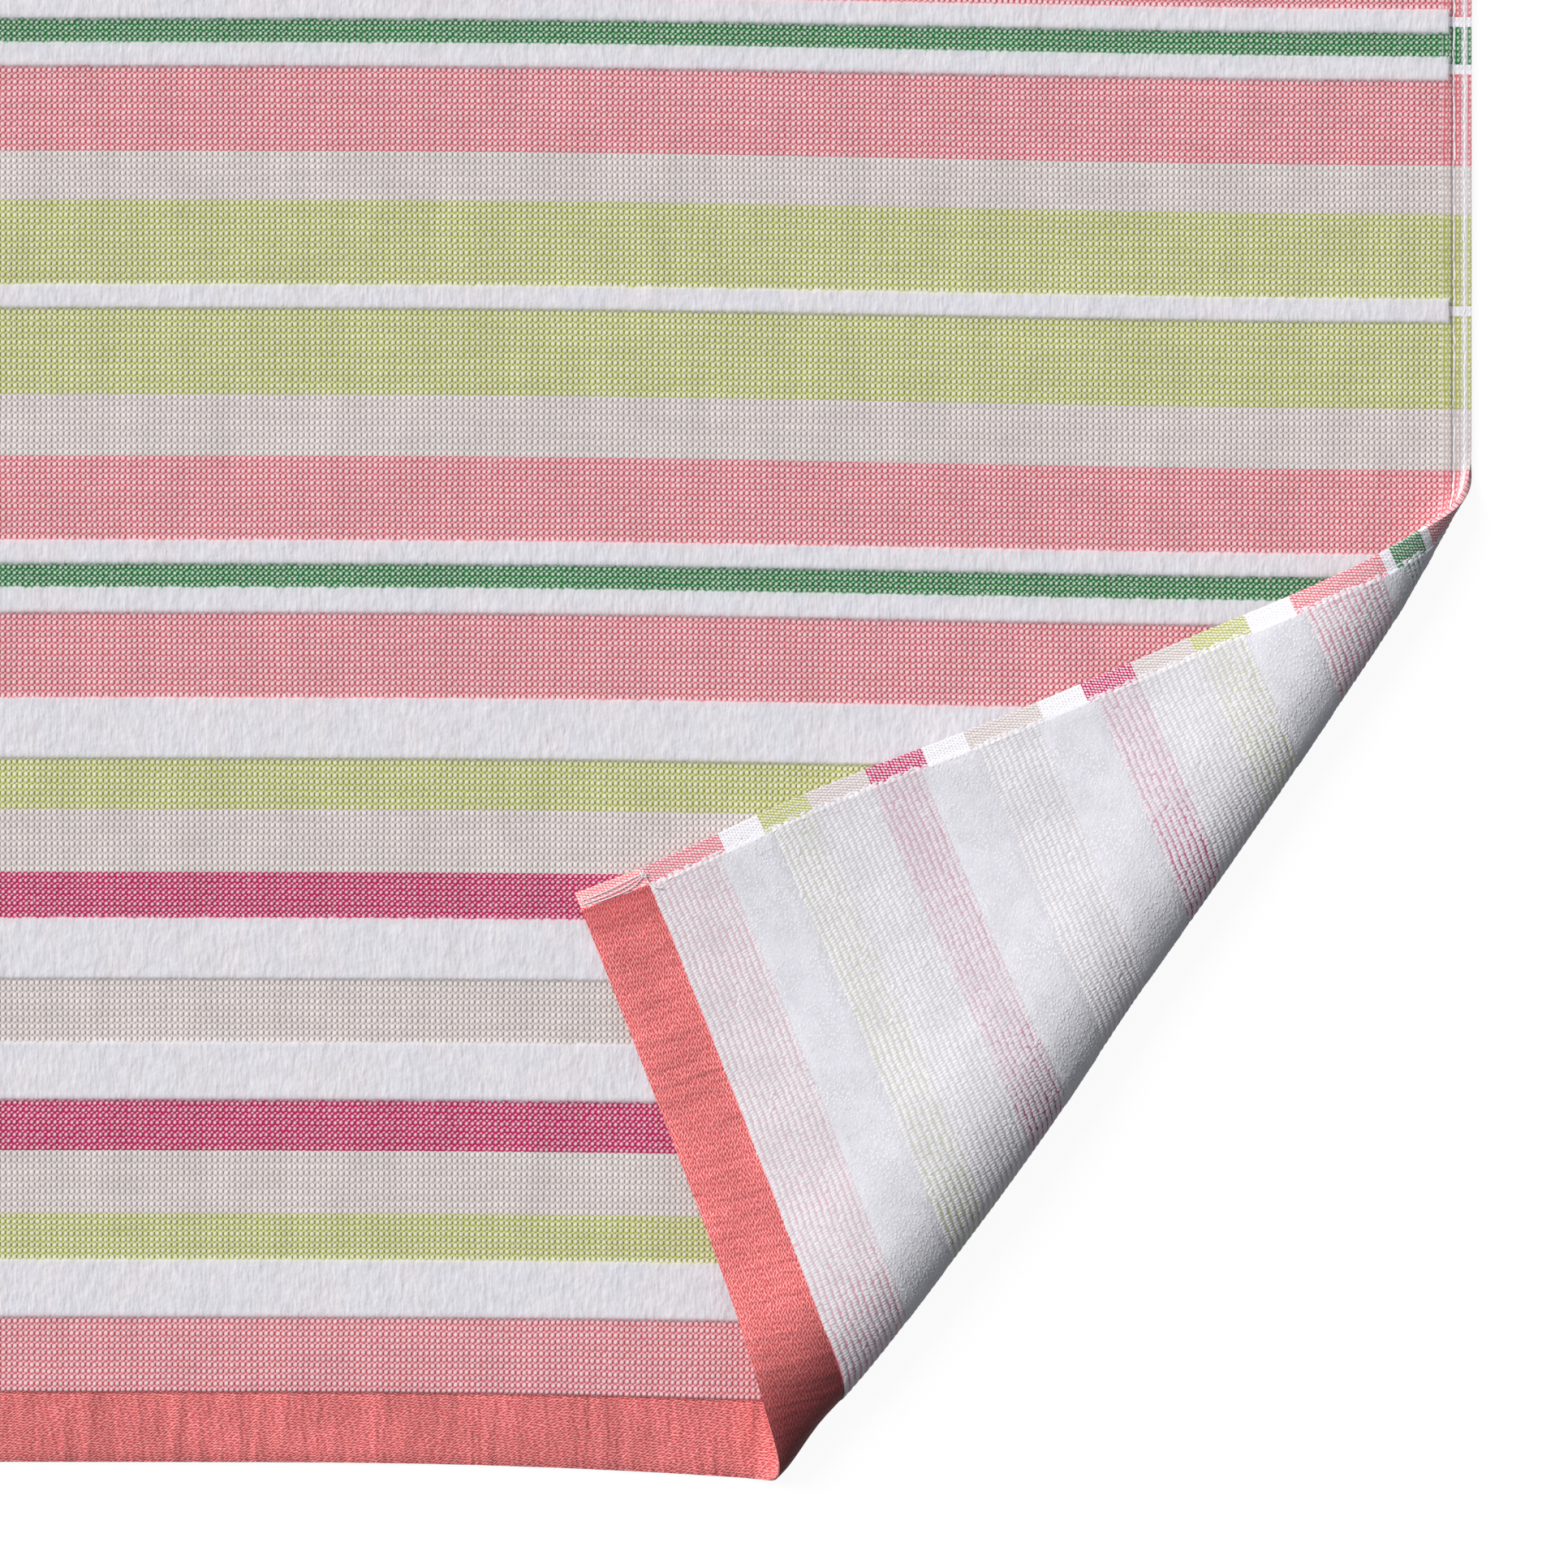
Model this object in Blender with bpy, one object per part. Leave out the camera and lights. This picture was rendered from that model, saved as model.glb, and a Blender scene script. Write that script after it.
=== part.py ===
"""Beach towel lying flat with its front up and one lower corner turned over.

Metres, +Z up. X runs across the towel, along the weft, and Y runs along its length, along
the warp. The towel is one cloth, with its hems part of it. It is cut here as a flat slab, and
its lower right corner is then bent over along a slanting fold: the cloth lifts off the
surface, turns round a nose, comes down again over a long slope and lies on itself.
"""

from math import cos, pi, radians, sin

import bmesh
import bpy
import numpy as np
from mathutils import Vector

MM = 0.001

# The flat cloth, hems included. The hems have no pile, so they are thinner than the rest.
WIDTH = 0.864
LENGTH = 1.678
THICKNESS = 3.0 * MM
HEM_THICKNESS = 1.8 * MM
END_HEM = 23 * MM
SIDE_HEM = 6.5 * MM
HEM_SLOPE = 1.0 * MM
BODY_STEP_X = 0.096
BODY_STEP_Y = 0.120

# The weft is level over the left half and falls away towards the right edge.
WEFT_FALL = 0.023  # per metre
WEFT_FALL_FROM = 0.137
WEFT_FALL_TO = 0.370
WEFT_FALL_SOFTNESS = 0.080
CENTRE_Y = 0.0030  # sets the middle of the laid towel over the origin

# The lower end is drawn down a little next to the foot of the fold.
FOOT_DRAW = 4.2 * MM
FOOT_DRAW_FROM = 0.044
FOOT_DRAW_FULL = 0.204
FOOT_DRAW_TO = 0.250
FOOT_DRAW_HEIGHT = 0.034

# The fold runs slantwise from the right edge to the lower end, between these two points.
FOLD_HEAD = Vector((WIDTH / 2 - 0.0064, -LENGTH / 2 + 0.3079))
FOLD_FOOT = Vector((WIDTH / 2 - 0.2258, -LENGTH / 2 - 0.0053))

# Sections of the fold, in millimetres. bulge: how far the fold's outside stands past the
# straight line from head to foot. reach and rise: half the width and half the height of
# the bent cloth, from where it lifts off to where it runs level again.
SECTION_COLUMNS = ("along", "bulge", "reach", "rise")
FOLD_SECTIONS = (
    (-32.0, -0.6, 5.0, 6.0),
    (0.0, 0.1, 8.0, 8.0),
    (32.0, 3.1, 14.0, 8.0),
    (80.0, 4.5, 21.0, 7.8),
    (132.0, 5.2, 25.0, 8.6),
    (185.0, 4.9, 26.0, 9.3),
    (239.0, 6.0, 27.0, 10.8),
    (292.0, 4.9, 28.0, 10.3),
    (345.0, 2.0, 26.0, 9.4),
    (360.0, 0.1, 22.0, 9.0),
    (374.0, 0.1, 17.0, 8.5),
    (392.0, -0.8, 8.0, 7.5),
)
UNDER_TURN = radians(16)  # of the broad bend that lifts the lower layer
CROWN_TURN = radians(30)  # of the broad bend over the top of the fold
FALL_TURN = radians(14)  # from there down to the lower layer
NOSE_SHARE = 0.36  # height of the fold's outermost line, as a share of the fold's
CREST_SHARE = 1.9  # from that line in to the crest, in rises
BACK_SHARE = 8.0  # radius of the bend behind the crest, in rises
LAYER_GAP = 1.2 * MM  # between the cloth and the corner that lies on it

# The turned corner lies slightly skewed, and in soft waves.
CORNER_SKEW = 0.063
CORNER_SKEW_SOFTNESS = 8 * MM
WAVE_HEIGHT = 1.3 * MM
WAVE_LENGTH = 0.062
WAVE_FROM = 0.055  # from the fold, over the flat cloth
WAVE_FULL = 0.085

# Lines across which the corner is bent, as distance past the fold: from, to, spacing.
BEND_LINES = (
    (-0.0360, -0.0070, 0.0048),
    (-0.0070, 0.0180, 0.0018),
    (0.0180, 0.0660, 0.0048),
    (0.0660, 0.1860, 0.0120),
)
CROSS_STEP = 0.0125

CLOTH_COLOUR = (0.80, 0.62, 0.60, 1.0)
CLOTH_ROUGHNESS = 0.9


def section_value(along, column):
    """A column of FOLD_SECTIONS in metres, as a smooth curve through its rows."""
    table = np.array(FOLD_SECTIONS) * MM
    places = table[:, 0]
    values = table[:, SECTION_COLUMNS.index(column)]
    slopes = np.gradient(values, places)
    row = np.clip(np.searchsorted(places, along) - 1, 0, len(places) - 2)
    span = places[row + 1] - places[row]
    u = np.clip((along - places[row]) / span, 0.0, 1.0)
    start = values[row] * (2 * u**3 - 3 * u**2 + 1) + slopes[row] * span * (u**3 - 2 * u**2 + u)
    end = values[row + 1] * (3 * u**2 - 2 * u**3) + slopes[row + 1] * span * (u**3 - u**2)
    return start + end


def smooth_step(value, low, high):
    u = np.clip((value - low) / (high - low), 0.0, 1.0)
    return u * u * (3 - 2 * u)


def soft_ramp(value, softness):
    """Zero far below 0 and the value itself far above, with a soft corner between."""
    return (value + np.sqrt(value**2 + softness**2)) / 2


def quarter_bend(turn, out, up):
    """Radii of a broad and then a tight bend that turn the cloth upright, out and up by so much."""
    sine, cosine = sin(turn), cos(turn)
    broad = (cosine * out - (1 - sine) * up) / (sine + cosine - 1)
    tight = (sine * up - (1 - cosine) * out) / (sine + cosine - 1)
    return broad, tight


def bent_run(run, reach, rise):
    """Where a run of cloth past the lift-off line ends: its distance out, height and heading."""
    nose_height = NOSE_SHARE * 2 * rise
    under, low_nose = quarter_bend(UNDER_TURN, reach, nose_height)
    crown, high_nose = quarter_bend(CROWN_TURN, CREST_SHARE * rise, 2 * rise - nose_height)
    back = BACK_SHARE * rise
    fall = 2 * rise - THICKNESS - LAYER_GAP
    landing = fall / (1 - cos(FALL_TURN)) - back
    bends = (
        (UNDER_TURN, under),
        (pi / 2 - UNDER_TURN, low_nose),
        (pi / 2 - CROWN_TURN, high_nose),
        (CROWN_TURN, crown),
        (FALL_TURN, back),
        (-FALL_TURN, landing),
    )
    out = np.minimum(run, 0.0)
    left = np.maximum(run, 0.0)
    height = np.zeros_like(run)
    heading = np.zeros_like(run)
    for turn, radius in bends:
        used = np.minimum(left, abs(turn) * radius)
        turned = heading + np.sign(turn) * used / radius
        out = out + np.sign(turn) * radius * (np.sin(turned) - np.sin(heading))
        height = height + np.sign(turn) * radius * (np.cos(heading) - np.cos(turned))
        heading = turned
        left = left - used
    return out + left * np.cos(heading), height + left * np.sin(heading), heading


def thickness_at(x, y):
    """The cloth's thickness, which drops at the inner edge of each hem."""
    inside_end = smooth_step(LENGTH / 2 - abs(y) - END_HEM, -HEM_SLOPE / 2, HEM_SLOPE / 2)
    inside_side = smooth_step(WIDTH / 2 - abs(x) - SIDE_HEM, -HEM_SLOPE / 2, HEM_SLOPE / 2)
    return HEM_THICKNESS + (THICKNESS - HEM_THICKNESS) * np.minimum(inside_end, inside_side)


def weft_shift(x, y):
    """How far the cloth is drawn down at a place of the flat sheet."""
    fall = soft_ramp(x - WEFT_FALL_FROM, WEFT_FALL_SOFTNESS) - soft_ramp(x - WEFT_FALL_TO, WEFT_FALL_SOFTNESS)
    near_foot = np.clip((x - FOOT_DRAW_FROM) / (FOOT_DRAW_FULL - FOOT_DRAW_FROM), 0, 1) ** 2
    near_foot = near_foot * (1 - smooth_step(x, FOOT_DRAW_FULL, FOOT_DRAW_TO))
    near_end = np.clip(1 - (y + LENGTH / 2) / FOOT_DRAW_HEIGHT, 0, 1)
    return WEFT_FALL * fall + FOOT_DRAW * near_foot * near_end


def lay_cloth(points):
    """The places in the laid towel of points (x, y, height) of the flat cloth."""
    x, y, above = points.T
    thickness = thickness_at(x, y)
    y = y - weft_shift(x, y)
    down_fold = (FOLD_FOOT - FOLD_HEAD).normalized()
    outward = Vector((-down_fold.y, down_fold.x))
    along = (x - FOLD_HEAD.x) * down_fold.x + (y - FOLD_HEAD.y) * down_fold.y
    past = (x - FOLD_HEAD.x) * outward.x + (y - FOLD_HEAD.y) * outward.y
    reach = section_value(along, "reach")
    lift_off = section_value(along, "bulge") - THICKNESS / 2 - reach
    out, height, heading = bent_run(past - lift_off, reach, section_value(along, "rise"))
    along = along + CORNER_SKEW * soft_ramp(past, CORNER_SKEW_SOFTNESS)
    waves = (1 - np.cos(2 * pi * along / WAVE_LENGTH)) / 2
    height = height + WAVE_HEIGHT * waves * smooth_step(past, WAVE_FROM, WAVE_FULL)
    proud = (above / THICKNESS - 0.5) * thickness
    out = lift_off + out - proud * np.sin(heading)
    height = height + thickness / 2 + proud * np.cos(heading)
    laid_x = FOLD_HEAD.x + along * down_fold.x + out * outward.x
    laid_y = FOLD_HEAD.y + along * down_fold.y + out * outward.y + CENTRE_Y
    return np.stack([laid_x, laid_y, height], axis=1)


def cut_along(bm, faces, place, direction):
    """Cuts the faces by the upright plane through place, square to direction."""
    geometry = set(faces)
    for face in faces:
        geometry.update(face.edges, face.verts)
    bmesh.ops.bisect_plane(
        bm, geom=list(geometry), dist=1e-6, plane_co=place.to_3d(), plane_no=direction.to_3d()
    )


def fold_distance(face, outward):
    return (face.calc_center_median().to_2d() - FOLD_HEAD).dot(outward)


def cut_for_bending(bm):
    """Cuts the slab at its hems, into wide cells, and its corner into narrow ones along the fold."""
    down_fold = (FOLD_FOOT - FOLD_HEAD).normalized()
    outward = Vector((-down_fold.y, down_fold.x))
    border = BEND_LINES[0][0]
    cut_along(bm, bm.faces, FOLD_HEAD + outward * border, outward)
    sides = (
        (Vector((1, 0)), WIDTH, SIDE_HEM, BODY_STEP_X),
        (Vector((0, 1)), LENGTH, END_HEM, BODY_STEP_Y),
    )
    for axis, size, hem, step in sides:
        for place in np.arange(step - size / 2, size / 2 - step / 2, step):
            body = [face for face in bm.faces if fold_distance(face, outward) < border]
            cut_along(bm, body, axis * float(place), axis)
        for edge in (-1, 1):
            for inset in (hem - HEM_SLOPE / 2, hem + HEM_SLOPE / 2):
                cut_along(bm, bm.faces, axis * edge * (size / 2 - inset), axis)
    for start, end, step in BEND_LINES:
        for distance in np.arange(max(start, border + step), end, step):
            corner = [face for face in bm.faces if fold_distance(face, outward) > border]
            cut_along(bm, corner, FOLD_HEAD + outward * float(distance), outward)
    for distance in np.arange(-3 * CROSS_STEP, (FOLD_FOOT - FOLD_HEAD).length + 3 * CROSS_STEP, CROSS_STEP):
        corner = [face for face in bm.faces if fold_distance(face, outward) > border]
        cut_along(bm, corner, FOLD_HEAD + down_fold * float(distance), down_fold)


def make_towel():
    bm = bmesh.new()
    bmesh.ops.create_cube(bm, size=1.0)
    bmesh.ops.scale(bm, verts=bm.verts, vec=(WIDTH, LENGTH, THICKNESS))
    bmesh.ops.translate(bm, verts=bm.verts, vec=(0, 0, THICKNESS / 2))
    cut_for_bending(bm)
    laid = lay_cloth(np.array([vertex.co for vertex in bm.verts]))
    for vertex, place in zip(bm.verts, laid):
        vertex.co = place
    mesh = bpy.data.meshes.new("towel")
    bm.to_mesh(mesh)
    bm.free()
    mesh.shade_smooth()
    mesh.set_sharp_from_angle(angle=radians(60))
    return bpy.data.objects.new("towel", mesh)


def cloth_material():
    material = bpy.data.materials.new("cloth")
    material.use_nodes = True
    shader = material.node_tree.nodes["Principled BSDF"]
    shader.inputs["Base Color"].default_value = CLOTH_COLOUR
    shader.inputs["Roughness"].default_value = CLOTH_ROUGHNESS
    shader.inputs["Metallic"].default_value = 0.0
    return material


def main():
    for old in list(bpy.data.objects):
        bpy.data.objects.remove(old, do_unlink=True)
    collection = bpy.data.collections.new("beach_towel")
    bpy.context.scene.collection.children.link(collection)
    towel = make_towel()
    towel.data.materials.append(cloth_material())
    collection.objects.link(towel)


main()
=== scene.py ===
"""Looks of the beach towel: a striped cotton cloth, front up, with one corner turned over.

Metres, +Z up. X runs along the weft, from side hem to side hem, and Y along the warp. The
front has flat woven stripes and white velour ones, the back is all terry loops. Places on the
cloth are given on the flat sheet, and lay_cloth() says where they come to lie.
"""

from collections import namedtuple
from math import cos, pi, radians, sin

import bmesh
import bpy
import numpy as np
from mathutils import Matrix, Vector


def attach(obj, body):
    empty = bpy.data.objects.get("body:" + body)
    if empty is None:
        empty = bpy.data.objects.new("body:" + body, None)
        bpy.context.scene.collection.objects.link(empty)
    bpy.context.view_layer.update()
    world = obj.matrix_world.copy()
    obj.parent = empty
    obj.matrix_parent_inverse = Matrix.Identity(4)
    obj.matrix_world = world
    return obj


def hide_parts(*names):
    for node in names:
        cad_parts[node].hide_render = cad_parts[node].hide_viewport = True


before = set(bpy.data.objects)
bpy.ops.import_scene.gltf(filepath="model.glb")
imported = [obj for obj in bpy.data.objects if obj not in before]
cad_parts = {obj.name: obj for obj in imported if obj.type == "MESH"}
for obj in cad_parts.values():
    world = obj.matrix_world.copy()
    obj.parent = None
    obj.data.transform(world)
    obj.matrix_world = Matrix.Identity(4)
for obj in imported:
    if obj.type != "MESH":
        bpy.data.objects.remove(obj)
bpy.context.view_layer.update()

MM = 0.001

# The cloth, as in the part's source.
WIDTH = 0.864
LENGTH = 1.678
THICKNESS = 3.0 * MM
HEM_THICKNESS = 1.8 * MM
END_HEM = 23 * MM
SIDE_HEM = 6.5 * MM
HEM_SLOPE = 1.0 * MM
WEFT_FALL = 0.023
WEFT_FALL_FROM = 0.137
WEFT_FALL_TO = 0.370
WEFT_FALL_SOFTNESS = 0.080
CENTRE_Y = 0.0030
FOOT_DRAW = 4.2 * MM
FOOT_DRAW_FROM = 0.044
FOOT_DRAW_FULL = 0.204
FOOT_DRAW_TO = 0.250
FOOT_DRAW_HEIGHT = 0.034
FOLD_HEAD = Vector((WIDTH / 2 - 0.0064, -LENGTH / 2 + 0.3079))
FOLD_FOOT = Vector((WIDTH / 2 - 0.2258, -LENGTH / 2 - 0.0053))
FOLD_LENGTH = (FOLD_FOOT - FOLD_HEAD).length
DOWN_FOLD = (FOLD_FOOT - FOLD_HEAD).normalized()
OUTWARD = Vector((-DOWN_FOLD.y, DOWN_FOLD.x))
SECTION_COLUMNS = ("along", "bulge", "reach", "rise")  # millimetres
FOLD_SECTIONS = (
    (-32.0, -0.6, 5.0, 6.0),
    (0.0, 0.1, 8.0, 8.0),
    (32.0, 3.1, 14.0, 8.0),
    (80.0, 4.5, 21.0, 7.8),
    (132.0, 5.2, 25.0, 8.6),
    (185.0, 4.9, 26.0, 9.3),
    (239.0, 6.0, 27.0, 10.8),
    (292.0, 4.9, 28.0, 10.3),
    (345.0, 2.0, 26.0, 9.4),
    (360.0, 0.1, 22.0, 9.0),
    (374.0, 0.1, 17.0, 8.5),
    (392.0, -0.8, 8.0, 7.5),
)
UNDER_TURN = radians(16)  # of the broad bend that lifts the lower layer
CROWN_TURN = radians(30)  # of the broad bend over the top of the fold
FALL_TURN = radians(14)  # from there down to the lower layer
NOSE_SHARE = 0.36  # height of the fold's outermost line, as a share of the fold's
CREST_SHARE = 1.9  # from that line in to the crest, in rises
BACK_SHARE = 8.0  # radius of the bend behind the crest, in rises
LAYER_GAP = 1.2 * MM
CORNER_SKEW = 0.063
CORNER_SKEW_SOFTNESS = 8 * MM
WAVE_HEIGHT = 1.3 * MM
WAVE_LENGTH = 0.062
WAVE_FROM = 0.055
WAVE_FULL = 0.085

# The stripes from the lower end hem to the middle of the towel; the other half mirrors them.
STRIPE_WIDTHS = (  # millimetres
    ("coral", 24.5), ("white", 19.0), ("lime", 15.0), ("beige", 20.5), ("magenta", 16.5),
    ("white", 19.0), ("beige", 20.5), ("white", 20.0), ("magenta", 15.0), ("beige", 20.5),
    ("lime", 16.5), ("white", 20.0), ("coral", 27.5), ("white", 8.5), ("green", 7.5),
    ("white", 8.0), ("coral", 27.5), ("beige", 20.0), ("lime", 28.0), ("white", 8.0),
    ("lime", 27.5), ("beige", 16.0), ("coral", 27.5), ("white", 8.0), ("green", 7.5),
    ("white", 8.0), ("coral", 27.5), ("white", 20.0), ("lime", 16.5), ("beige", 20.5),
    ("magenta", 15.0), ("white", 20.0), ("beige", 20.5), ("white", 19.0), ("magenta", 16.5),
    ("beige", 20.5), ("lime", 15.0), ("white", 19.0), ("coral", 26.5), ("white", 8.5),
    ("green", 7.5), ("white", 8.0), ("coral", 27.5), ("beige", 20.0), ("lime", 27.5),
    ("white", 4.0),
)
COLUMN_PITCH = 1.87 * MM  # of the woven dots
ROW_PITCH = 1.96 * MM

# Yarn colours, linear.
YARNS = {
    "white": (0.84, 0.83, 0.87),
    "coral": (0.71, 0.19, 0.22),
    "beige": (0.62, 0.55, 0.52),
    "lime": (0.49, 0.51, 0.13),
    "magenta": (0.55, 0.003, 0.12),
    "green": (0.016, 0.215, 0.045),
}
HEM_YARN = (1.0, 0.22, 0.22)
WARP_SHINE = (0.92, 0.91, 0.95)  # the white warp where it floats on top, lightened by painted highlight

# Pile. It stands on the white stripes of the front and on all of the back but the hems.
VELOUR_RISE = 0.35 * MM  # of the velour over the woven stripes
VELOUR_FULL = 0.6  # pile share from which it stands that high
PILE_BEFORE = 0.8 * MM  # how far stray pile reaches over a woven stripe
PILE_AFTER = 2.4 * MM  # how far in the pile stands full
PILE_SIDE = 6.4 * MM  # bare width along each side edge
LOOP_DEPTH = 0.60 * MM  # of the loops on the turned corner
LOOSE_DEPTH = 0.30 * MM  # of the scattered loops
LOOP_START = 4 * MM  # past the line where the cloth lifts off

# Hem forms: grooves of the two seams along each side, and ridges on the back of the side hem.
SEAM_INSETS = (2.25 * MM, 5.8 * MM)
SEAM_DEPTH = 0.06 * MM
SEAM_SPREAD = 0.70 * MM
SIDE_FILL = 0.60 * MM  # brings the side hem's front level with the woven stripes
RIDGE_PITCH = 1.75 * MM
RIDGE_HEIGHT = 0.12 * MM
END_ROUND = 4.6 * MM  # width over which the end hem rounds down to its edge
END_DROP = 0.5 * MM


# ---------------------------------------------------------------- the way the cloth lies


def section_value(along, column):
    """A column of the fold table at a distance down the fold, smooth from row to row."""
    table = np.array(FOLD_SECTIONS) * MM
    places = table[:, 0]
    values = table[:, SECTION_COLUMNS.index(column)]
    slopes = np.gradient(values, places)
    row = np.clip(np.searchsorted(places, along) - 1, 0, len(places) - 2)
    span = places[row + 1] - places[row]
    u = np.clip((along - places[row]) / span, 0.0, 1.0)
    start = values[row] * (2 * u**3 - 3 * u**2 + 1) + slopes[row] * span * (u**3 - 2 * u**2 + u)
    end = values[row + 1] * (3 * u**2 - 2 * u**3) + slopes[row + 1] * span * (u**3 - u**2)
    return start + end


def smooth_step(value, low, high):
    u = np.clip((value - low) / (high - low), 0.0, 1.0)
    return u * u * (3 - 2 * u)


def soft_ramp(value, softness):
    return (value + np.sqrt(value**2 + softness**2)) / 2


def quarter_bend(turn, out, up):
    """Radii of a broad and then a tight bend that turn the cloth upright, out and up by so much."""
    sine, cosine = sin(turn), cos(turn)
    broad = (cosine * out - (1 - sine) * up) / (sine + cosine - 1)
    tight = (sine * up - (1 - cosine) * out) / (sine + cosine - 1)
    return broad, tight


def bent_run(run, reach, rise):
    """Where a run of cloth past the lift-off line ends: its distance out, height and heading."""
    nose_height = NOSE_SHARE * 2 * rise
    under, low_nose = quarter_bend(UNDER_TURN, reach, nose_height)
    crown, high_nose = quarter_bend(CROWN_TURN, CREST_SHARE * rise, 2 * rise - nose_height)
    back = BACK_SHARE * rise
    fall = 2 * rise - THICKNESS - LAYER_GAP
    landing = fall / (1 - cos(FALL_TURN)) - back
    bends = (
        (UNDER_TURN, under),
        (pi / 2 - UNDER_TURN, low_nose),
        (pi / 2 - CROWN_TURN, high_nose),
        (CROWN_TURN, crown),
        (FALL_TURN, back),
        (-FALL_TURN, landing),
    )
    out = np.minimum(run, 0.0)
    left = np.maximum(run, 0.0)
    height = np.zeros_like(run)
    heading = np.zeros_like(run)
    for turn, radius in bends:
        used = np.minimum(left, abs(turn) * radius)
        turned = heading + np.sign(turn) * used / radius
        out = out + np.sign(turn) * radius * (np.sin(turned) - np.sin(heading))
        height = height + np.sign(turn) * radius * (np.cos(heading) - np.cos(turned))
        heading = turned
        left = left - used
    return out + left * np.cos(heading), height + left * np.sin(heading), heading


def insets(x, y):
    """How far in from the side edge and from the end edge a place of the flat sheet is."""
    return WIDTH / 2 - abs(x), LENGTH / 2 - abs(y)


def past_hem(inset, hem):
    """0 on a hem of that width and 1 past it, with the slope between."""
    return smooth_step(inset - hem, -HEM_SLOPE / 2, HEM_SLOPE / 2)


def thickness_at(x, y):
    inset, end_inset = insets(x, y)
    full = np.minimum(past_hem(end_inset, END_HEM), past_hem(inset, SIDE_HEM))
    return HEM_THICKNESS + (THICKNESS - HEM_THICKNESS) * full


def weft_shift(x, y):
    """How far the cloth is drawn down at a place of the flat sheet."""
    fall = soft_ramp(x - WEFT_FALL_FROM, WEFT_FALL_SOFTNESS)
    fall = fall - soft_ramp(x - WEFT_FALL_TO, WEFT_FALL_SOFTNESS)
    near_foot = np.clip((x - FOOT_DRAW_FROM) / (FOOT_DRAW_FULL - FOOT_DRAW_FROM), 0, 1) ** 2
    near_foot = near_foot * (1 - smooth_step(x, FOOT_DRAW_FULL, FOOT_DRAW_TO))
    near_end = np.clip(1 - (y + LENGTH / 2) / FOOT_DRAW_HEIGHT, 0, 1)
    return WEFT_FALL * fall + FOOT_DRAW * near_foot * near_end


def fold_place(x, y):
    """A place's distances down the fold and out past it, and where on the way out it lifts off."""
    y = y - weft_shift(x, y)
    along = (x - FOLD_HEAD.x) * DOWN_FOLD.x + (y - FOLD_HEAD.y) * DOWN_FOLD.y
    past = (x - FOLD_HEAD.x) * OUTWARD.x + (y - FOLD_HEAD.y) * OUTWARD.y
    lift_off = section_value(along, "bulge") - THICKNESS / 2 - section_value(along, "reach")
    return along, past, lift_off


def lay_cloth(x, y, proud):
    """Where a place of the flat cloth lies, proud of the cloth's middle towards its front."""
    thickness = thickness_at(x, y)
    along, past, lift_off = fold_place(x, y)
    reach = section_value(along, "reach")
    out, height, heading = bent_run(past - lift_off, reach, section_value(along, "rise"))
    along = along + CORNER_SKEW * soft_ramp(past, CORNER_SKEW_SOFTNESS)
    waves = (1 - np.cos(2 * pi * along / WAVE_LENGTH)) / 2
    height = height + WAVE_HEIGHT * waves * smooth_step(past, WAVE_FROM, WAVE_FULL)
    out = lift_off + out - proud * np.sin(heading)
    height = height + thickness / 2 + proud * np.cos(heading)
    laid_x = FOLD_HEAD.x + along * DOWN_FOLD.x + out * OUTWARD.x
    laid_y = FOLD_HEAD.y + along * DOWN_FOLD.y + out * OUTWARD.y + CENTRE_Y
    return np.stack([laid_x, laid_y, height], axis=-1)


def lifted_run(x, y):
    """The run of cloth past the line where it lifts off the surface, negative before it."""
    past, lift_off = fold_place(x, y)[1:]
    return past - lift_off


# ---------------------------------------------------------------- the stripes


Stripe = namedtuple("Stripe", "yarn low high rows")


def stripe_layout():
    """The stripes from end hem to end hem, each with its edges and its number of thread rows."""
    half = [(yarn, width * MM) for yarn, width in STRIPE_WIDTHS]
    middle_yarn, middle_half = half[-1]
    layout = []
    low = -LENGTH / 2 + END_HEM
    for yarn, width in half[:-1] + [(middle_yarn, 2 * middle_half)] + half[-2::-1]:
        layout.append(Stripe(yarn, low, low + width, round(width / ROW_PITCH)))
        low += width
    return layout


LAYOUT = stripe_layout()
STRIPE_EDGES = [stripe.low for stripe in LAYOUT] + [LAYOUT[-1].high]
HEM_ROWS = round(END_HEM / ROW_PITCH)


def thread_row(y):
    """The number of thread rows from the lower end; each stripe has a whole number of them."""
    places = [-LENGTH / 2] + STRIPE_EDGES + [LENGTH / 2]
    rows = [0, HEM_ROWS] + [stripe.rows for stripe in LAYOUT] + [HEM_ROWS]
    return np.interp(y, places, np.cumsum(rows))


def pile_share(x, y):
    """How full the velour stands: 0 on woven stripes and hems, 1 on white stripes."""
    inside = np.full_like(y, -1.0)
    for stripe in LAYOUT:
        if stripe.yarn == "white":
            inside = np.maximum(inside, np.minimum(y - stripe.low, stripe.high - y))
    inside = np.minimum(inside, insets(x, y)[0] - PILE_SIDE - PILE_BEFORE)
    return np.clip((inside + PILE_BEFORE) / (PILE_BEFORE + PILE_AFTER), 0.0, 1.0)


def into_pile(before, after):
    """1 where the pile begins between two stripes, -1 where it ends, 0 where it does neither."""
    return int(after.yarn == "white") - int(before.yarn == "white")


def weft_colour(y):
    """The colour of the weft at each place; a coloured weft runs on a little under the pile."""
    pairs = zip(LAYOUT, LAYOUT[1:])
    run_on = [0.0] + [into_pile(*pair) * PILE_AFTER for pair in pairs] + [0.0]
    colours = np.array([HEM_YARN] + [YARNS[stripe.yarn] for stripe in LAYOUT] + [HEM_YARN])
    return colours[np.searchsorted(np.add(STRIPE_EDGES, run_on), y)]


# ---------------------------------------------------------------- the cloth's mesh


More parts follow.
